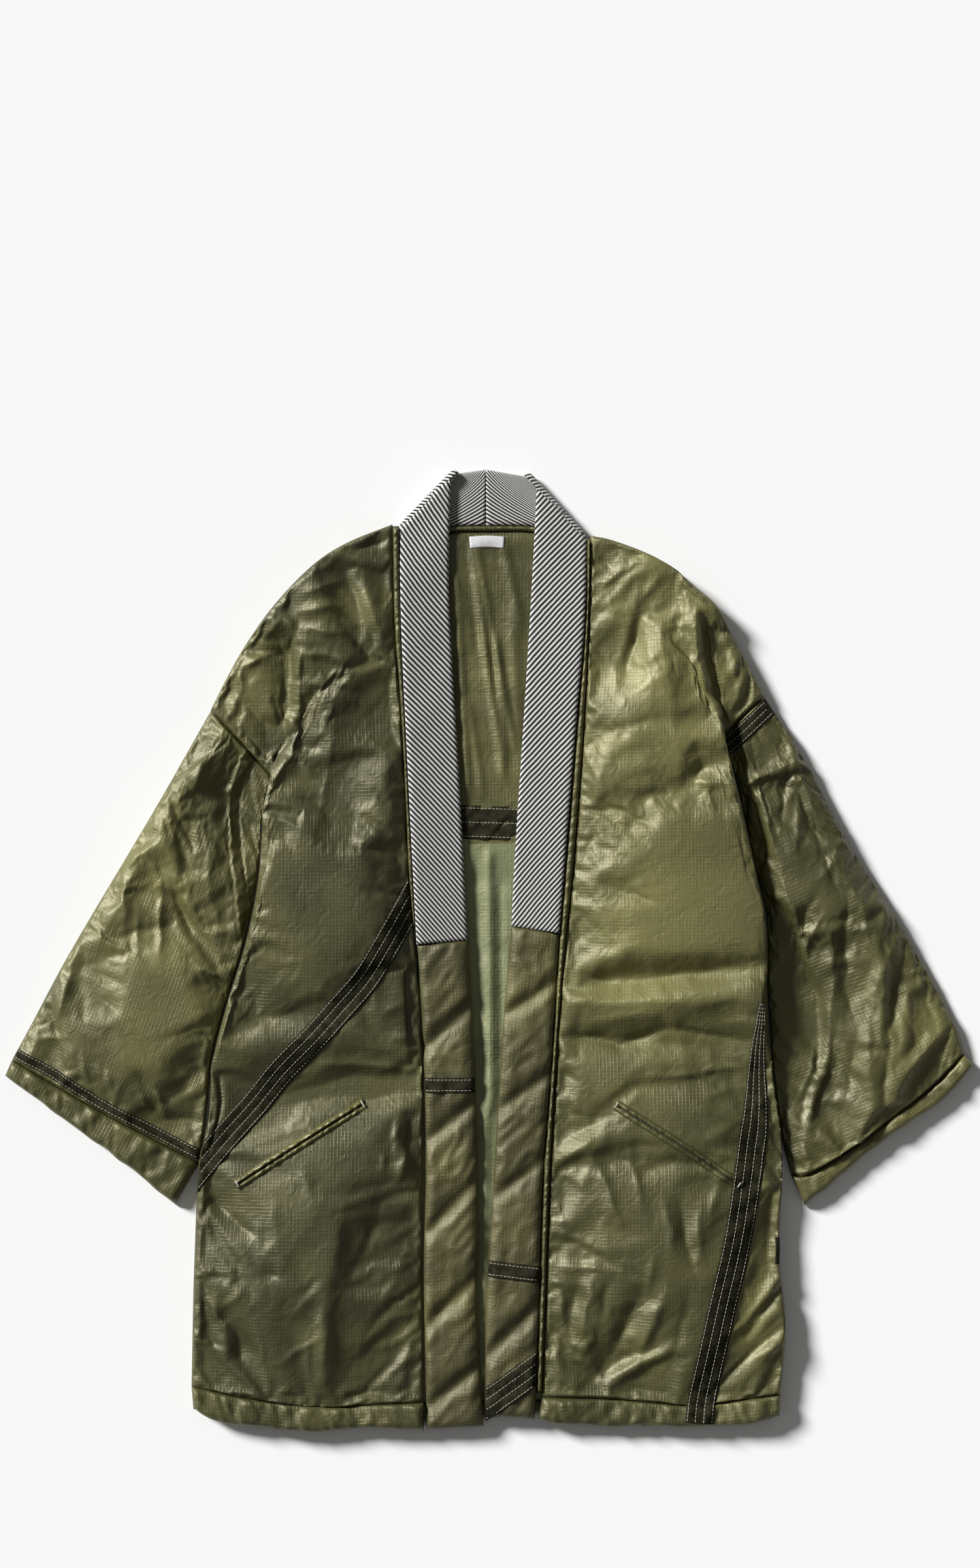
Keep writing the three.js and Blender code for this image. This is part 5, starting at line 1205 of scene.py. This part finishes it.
def ribbon_piece(name, strip, wall, material, node_name):
    """The closed mesh of a strip that ribbon has laid, standing for a node of the part, or for none."""
    xy, top, ground, run, depth = strip
    rows, columns = top.shape
    index = np.arange(rows * columns).reshape(rows, columns)
    faces = np.stack([index[:-1, :-1], index[:-1, 1:], index[1:, 1:], index[1:, :-1]], -1).reshape(-1, 4)
    low = np.minimum(top - wall, ground + 0.1)
    points = np.vstack([np.dstack([xy, top]).reshape(-1, 3), np.dstack([xy, low]).reshape(-1, 3)])
    count = rows * columns
    loop = np.concatenate([index[:-1, 0], index[-1, :-1], index[:0:-1, -1], index[0, :0:-1]])
    after = np.roll(loop, -1)
    wall_faces = np.stack([loop, after, after + count, loop + count], -1)
    a, b, c = (np.array(points[i]) for i in faces[0][:3])
    if np.cross(b - a, c - b)[2] < 0:
        faces, wall_faces = faces[:, ::-1], wall_faces[:, ::-1]
    weave = np.stack([depth + 0 * top, run + 0 * top, 0 * top], -1).reshape(-1, 3)
    return piece_from(name, points, [*faces, *(faces[:, ::-1] + count), *wall_faces], material,
                      np.vstack([weave, weave]), (node_name,) if node_name else ())


def lip_relief(seed, most):
    """The ruches of a pocket's lips, which leave its slit smooth."""
    def relief(run, depth):
        ruche = waves(run + 0.8 * depth, 0.2 * depth, 4.0, seed)
        ruche = ruche + 0.5 * waves(run - depth, 0 * depth, 2.4, seed + 1)
        share = depth / LIPS_WIDTH
        return np.where(np.abs(share - 0.5) < 0.08, 0, most * ruche * np.sin(np.clip(share, 0, 1) * math.pi))

    return relief


# the left lips take a paler, glossier olive, and the slit between the lips a near-black cloth: painted shade
# in the pocket mouth
pale_lip_cloth = ripstop("nylon ripstop, paler olive, at the left pocket lips", "#5a572e", "#403f20", 0.44,
                       "#6a673a")
slit_shade_cloth = ripstop("painted shade in the pocket slits, near black", "#17160c", "#100f08", 0.8, "#17160c")
pockets = {}
for side, host, seed, most, cloth in (
        ("left", front_left, 801, 1.7, pale_lip_cloth), ("right", front_right, 811, 0.9, shell_cloth)):
    strip = ribbon([host], POCKET_PATHS[side], LIPS_WIDTH, LIPS, lip_relief(seed, most), 4, step=1.2)
    lips = ribbon_piece(f"pocket_{side}_lips", strip, LIPS_WALL, cloth, "pocket_" + side)
    # the faces of the slit take the near-black cloth: painted shade
    lips.data.materials.append(slit_shade_cloth)
    columns = len(LIPS) - 1
    on_top = (len(lips.data.vertices) // 2 // len(LIPS) - 1) * columns
    for number in range(SLIT_COLUMN, on_top, columns):
        lips.data.polygons[number].material_index = 1
    pockets[side] = lips

# Tapes
# Bands of dark tape sewn on the fronts, a sleeve, a cuff, the bands and the inside of the back. Each
# is held by rows of pale machine stitches that sink into it.
TAPE_BLACK = "#2b2c1e"
TAPE_SHADE = "#0e0f09"
THREAD_WHITE = "#bdbbab"
THREAD_SHADE = "#8c8a7c"
TAPE_WALL = 1.4
# Each row of stitches sinks this far into the tape, over this share of its width
ROW_SINK = 0.55
ROW_SHARE = 1.6 / 27
# Shares of a tape's width at which its rows of stitches run, for two rows and for four
TWO_ROWS = [0.15, 0.85]
FOUR_ROWS = [0.07, 0.36, 0.65, 0.93]


def tape_material(name, base, shade):
    """Closely woven cotton tape, its fine twill a millimetre apart."""
    m = new_material(name)
    run = node(m, "ShaderNodeAttribute", {"attribute_name": "weave_mm"})
    split = node(m, "ShaderNodeSeparateXYZ", links={"Vector": run.outputs["Vector"]})
    slant = node(m, "ShaderNodeMath", {"operation": "ADD"}, {0: split.outputs["X"], 1: split.outputs["Y"]})
    part = node(m, "ShaderNodeMath", {"operation": "PINGPONG", 1: 0.7}, {0: slant.outputs[0]})
    cloud = node(m, "ShaderNodeTexNoise", {"Scale": 0.12, "Detail": 5.0}, {"Vector": run.outputs["Vector"]})
    patch = node(m, "ShaderNodeMapRange", {"From Min": 0.38, "From Max": 0.62}, {"Value": cloud.outputs[0]})
    colour = node(m, "ShaderNodeMix", {"data_type": "RGBA", 6: linear(shade), 7: linear(base)}, {
        0: patch.outputs[0]})
    lift = node(m, "ShaderNodeMath", {"operation": "MULTIPLY_ADD", 1: 0.5}, {
        0: cloud.outputs[0], 2: part.outputs[0]})
    relief = node(m, "ShaderNodeBump", {"Strength": 0.7, "Distance": 0.0006}, {"Height": lift.outputs[0]})
    return finished(m, node(m, "ShaderNodeBsdfPrincipled", {
        "Roughness": 0.75, "Specular IOR Level": 0.22, "Specular Tint": linear("#fff0c8")}, {
        "Base Color": colour.outputs[2], "Normal": relief.outputs[0]}))


def thread_material(name, base):
    """Twisted sewing thread, its plies half a millimetre apart."""
    m = new_material(name)
    place = node(m, "ShaderNodeTexCoord")
    ply = node(m, "ShaderNodeTexNoise", {"Scale": 1800.0, "Detail": 1.0}, {
        "Vector": place.outputs["Object"]})
    tone = node(m, "ShaderNodeMix", {"data_type": "RGBA", 6: linear(THREAD_SHADE), 7: linear(base)}, {
        0: ply.outputs[0]})
    return finished(m, node(m, "ShaderNodeBsdfPrincipled", {"Roughness": 0.6}, {
        "Base Color": tone.outputs[2]}))


tape_cloth = tape_material("cotton tape, dark charcoal", TAPE_BLACK, TAPE_SHADE)
thread = thread_material("polyester thread, pale grey", THREAD_WHITE)


def stitches(name, surface, lines, length=3.2, gap=0.6, width=0.65, rise=0.28):
    """Joined machine stitches along lines, each a small six-sided bar that dips at both ends."""
    points, faces = [], []
    for line in lines:
        run = np.concatenate([[0], np.cumsum(np.linalg.norm(np.diff(line, axis=0), axis=1))])
        for start in np.arange(0.6, run[-1] - length, length + gap):
            ends = [np.array([np.interp(start + f * length, run, line[:, 0]),
                              np.interp(start + f * length, run, line[:, 1])]) for f in (0, 0.25, 0.75, 1)]
            heights = [surface(*p) for p in ends]
            if None in heights:
                continue
            direction = (ends[-1] - ends[0]) / np.linalg.norm(ends[-1] - ends[0])
            over = np.array([direction[1], -direction[0]])
            first = len(points)
            for place, z, up, share in zip(ends, heights, (-0.3, 1, 1, -0.3), (0.5, 1, 1, 0.5)):
                middle = z + rise * up
                for k in range(6):
                    angle = math.pi * k / 3
                    p = place + over * width / 2 * share * math.cos(angle)
                    points.append((*p, middle + width / 2 * share * math.sin(angle)))
            for ring in range(3):
                for k in range(6):
                    a, b = first + 6 * ring + k, first + 6 * ring + (k + 1) % 6
                    faces.append([a, b, b + 6, a + 6])
            faces.append([first + k for k in range(5, -1, -1)])
            faces.append([first + 18 + k for k in range(6)])
    return piece_from(name, np.array(points), faces, thread, None)


def tape(name, hosts, path, width, rows, seed, within=None, pucker=0.4, wall=TAPE_WALL, slant=0.0):
    """A tape with rows of stitches at these shares of its width; returns it, its length and width."""
    profile_at = np.unique(np.concatenate([np.linspace(0, 1, 15), rows]))

    def height(share):
        sunk = sum(ROW_SINK * math.exp(-((share - row) / ROW_SHARE) ** 2) for row in rows)
        return 0.3 + wall * min(1, 0.55 + min(share, 1 - share) * 8) - sunk

    def relief(run, depth):
        return pucker * waves(run + slant * depth, 0.3 * depth, 7, seed)

    profile = [(share, height(share)) for share in profile_at]
    strip = ribbon(hosts, path, width, profile, relief, 4, within)
    piece = ribbon_piece(name + "_woven", strip, wall, tape_cloth, name)
    xy = strip[0]
    lines = [np.array([[np.interp(row, profile_at, place[:, k]) for k in (0, 1)] for place in xy])
             for row in rows]
    stitches(name + "_stitches", surface_of(piece), lines)
    run = float(np.mean(np.linalg.norm(np.diff(xy, axis=0), axis=2).sum(axis=0)))
    mean_width = float(np.mean([width(s) if callable(width) else width for s in np.linspace(0, 1, 20)]))
    return piece, run, mean_width


def edge_x(line, shift):
    """The x of an edge at each y, moved by a shift."""
    order = np.argsort(line[:, 1])
    return lambda y: np.interp(y, line[order, 1], line[order, 0]) + shift


def inside_edges(left, right, inset):
    """The two edges that cut a tape off, each a little inside its panel."""
    return edge_x(left, inset), edge_x(right, -inset)


def side_line(armhole, side):
    """An armhole and the side seam under it, as one line."""
    return joined(smooth_line(armhole, np.linspace(0, 1, 20)), smooth_line(side, np.linspace(0, 1, 300)))


def widening(share):
    """The width of the right front's tape, which comes out of the side seam to its full 28 mm."""
    return min(5 + 75 * share, 28)


middle_line = np.array([(0, -500), (0, 500)])
left_front_edge, sleeve_left_out, sleeve_left_in, sleeve_right_in, sleeve_right_out = (
    smooth_line(points, np.linspace(0, 1, 300)) for points in (
        FRONT_EDGE_LEFT, SLEEVE_OUTER_LEFT, SLEEVE_INNER_LEFT, SLEEVE_INNER_RIGHT, SLEEVE_OUTER_RIGHT))
right_side = np.vstack([side_line(ARMHOLE_RIGHT, SIDE_RIGHT), (284, -480)])
band_lines = [smooth_line(points, np.linspace(0, 1, 200)) for points in (
    BAND_OUTER_LEFT, BAND_INNER_LEFT, BAND_INNER_RIGHT, BAND_OUTER_RIGHT)]
in_left_band = inside_edges(band_lines[0], band_lines[1], 0.6)
in_right_band = inside_edges(band_lines[2], band_lines[3], 0.6)
tapes = [
    tape("tape_front_left", [front_left], [
        (-52, 98), (-66, 70), (-88, 29), (-104, 1), (-122, -28), (-147, -57), (-173, -86), (-205, -119),
        (-230, -150), (-256, -179), (-279, -206), (-300, -232)],
        27, FOUR_ROWS, 901, inside_edges(side_line(ARMHOLE_LEFT, SIDE_LEFT), left_front_edge, 0.6)),
    tape("tape_front_right", [front_right, hems["hem_right"], pockets["right"]], [
        (266, -50), (262, -92), (260, -156), (253, -214), (242, -284), (227, -348), (216, -399), (207, -444),
        (205, -463)], widening, FOUR_ROWS, 911, inside_edges(middle_line, right_side, 0.6)),
    tape("tape_sleeve_right", [sleeve_right], [(222, 191), (238, 205), (270, 235), (290, 254)],
         17, [0.12, 0.5, 0.88], 921, inside_edges(sleeve_right_in, sleeve_right_out, 1.0)),
    tape("tape_cuff_left", [sleeve_left], [
        (-480, -92), (-466, -101), (-430, -120), (-391, -145), (-348, -168), (-290, -198), (-276, -204)],
        10, TWO_ROWS, 931, inside_edges(sleeve_left_out, sleeve_left_in, 1.0), pucker=0.5),
    tape("tape_band_left", [band_left], [(-76, -132), (-2, -132)], 15, TWO_ROWS, 941, in_left_band),
    tape("tape_band_right", [band_right], [(-14, -310), (62, -319)], 16, TWO_ROWS, 951, in_right_band),
    tape("tape_band_right_low", [band_right], [(-22, -458), (64, -396)], 28, FOUR_ROWS, 961,
         in_right_band, pucker=0.7),
    tape("tape_back", [back], [(-33, 126), (33, 124)], 33, [0.08, 0.5, 0.92], 971,
         pucker=1.7, slant=0.8, wall=1.1),
]
# the short end of tape that shows at the right side seam
side_profile = [(s, 0.9 + 0.2 * math.sin(s * math.pi)) for s in np.linspace(0, 1, 5)]
side_strip = ribbon([front_right], [(281.6, -281), (281.9, -294), (281.4, -307)], 4.4, side_profile,
                    smoothing=6)
side_end = ribbon_piece("tape_side_end_woven", side_strip, 0.7, tape_cloth, None)

# bar tacks of the same thread hold the two ends of each pocket, over both lips
TACK_REACH = 5.2
for side, host in (("left", front_left), ("right", front_right)):
    ends = smooth_line(POCKET_PATHS[side], np.array([0.012, 0.988]))
    direction = (ends[1] - ends[0]) / np.linalg.norm(ends[1] - ends[0])
    over = np.array([direction[1], -direction[0]])
    tacks = [end + over * np.linspace(-TACK_REACH, TACK_REACH, 9)[:, None] for end in ends]
    stitches(f"pocket_{side}_tacks", surface_of(pockets[side], host), tacks,
             length=9.0, gap=1.0, width=1.6, rise=0.5)

# Label
# A small white woven label, left blank, sewn by its short ends to the back inside the neck.
label_cloth = thread_material("woven polyester, white", "#eef0f6")
label_profile = [(s, 0.6 + 0.5 * math.sin(s * math.pi)) for s in np.linspace(0, 1, 9)]
label_strip = ribbon([back], [(-20, 400.5), (-3, 401.5), (14, 400.5)], 11.5, label_profile, smoothing=8)
label = ribbon_piece("label_woven", label_strip, 0.6, label_cloth, "label")
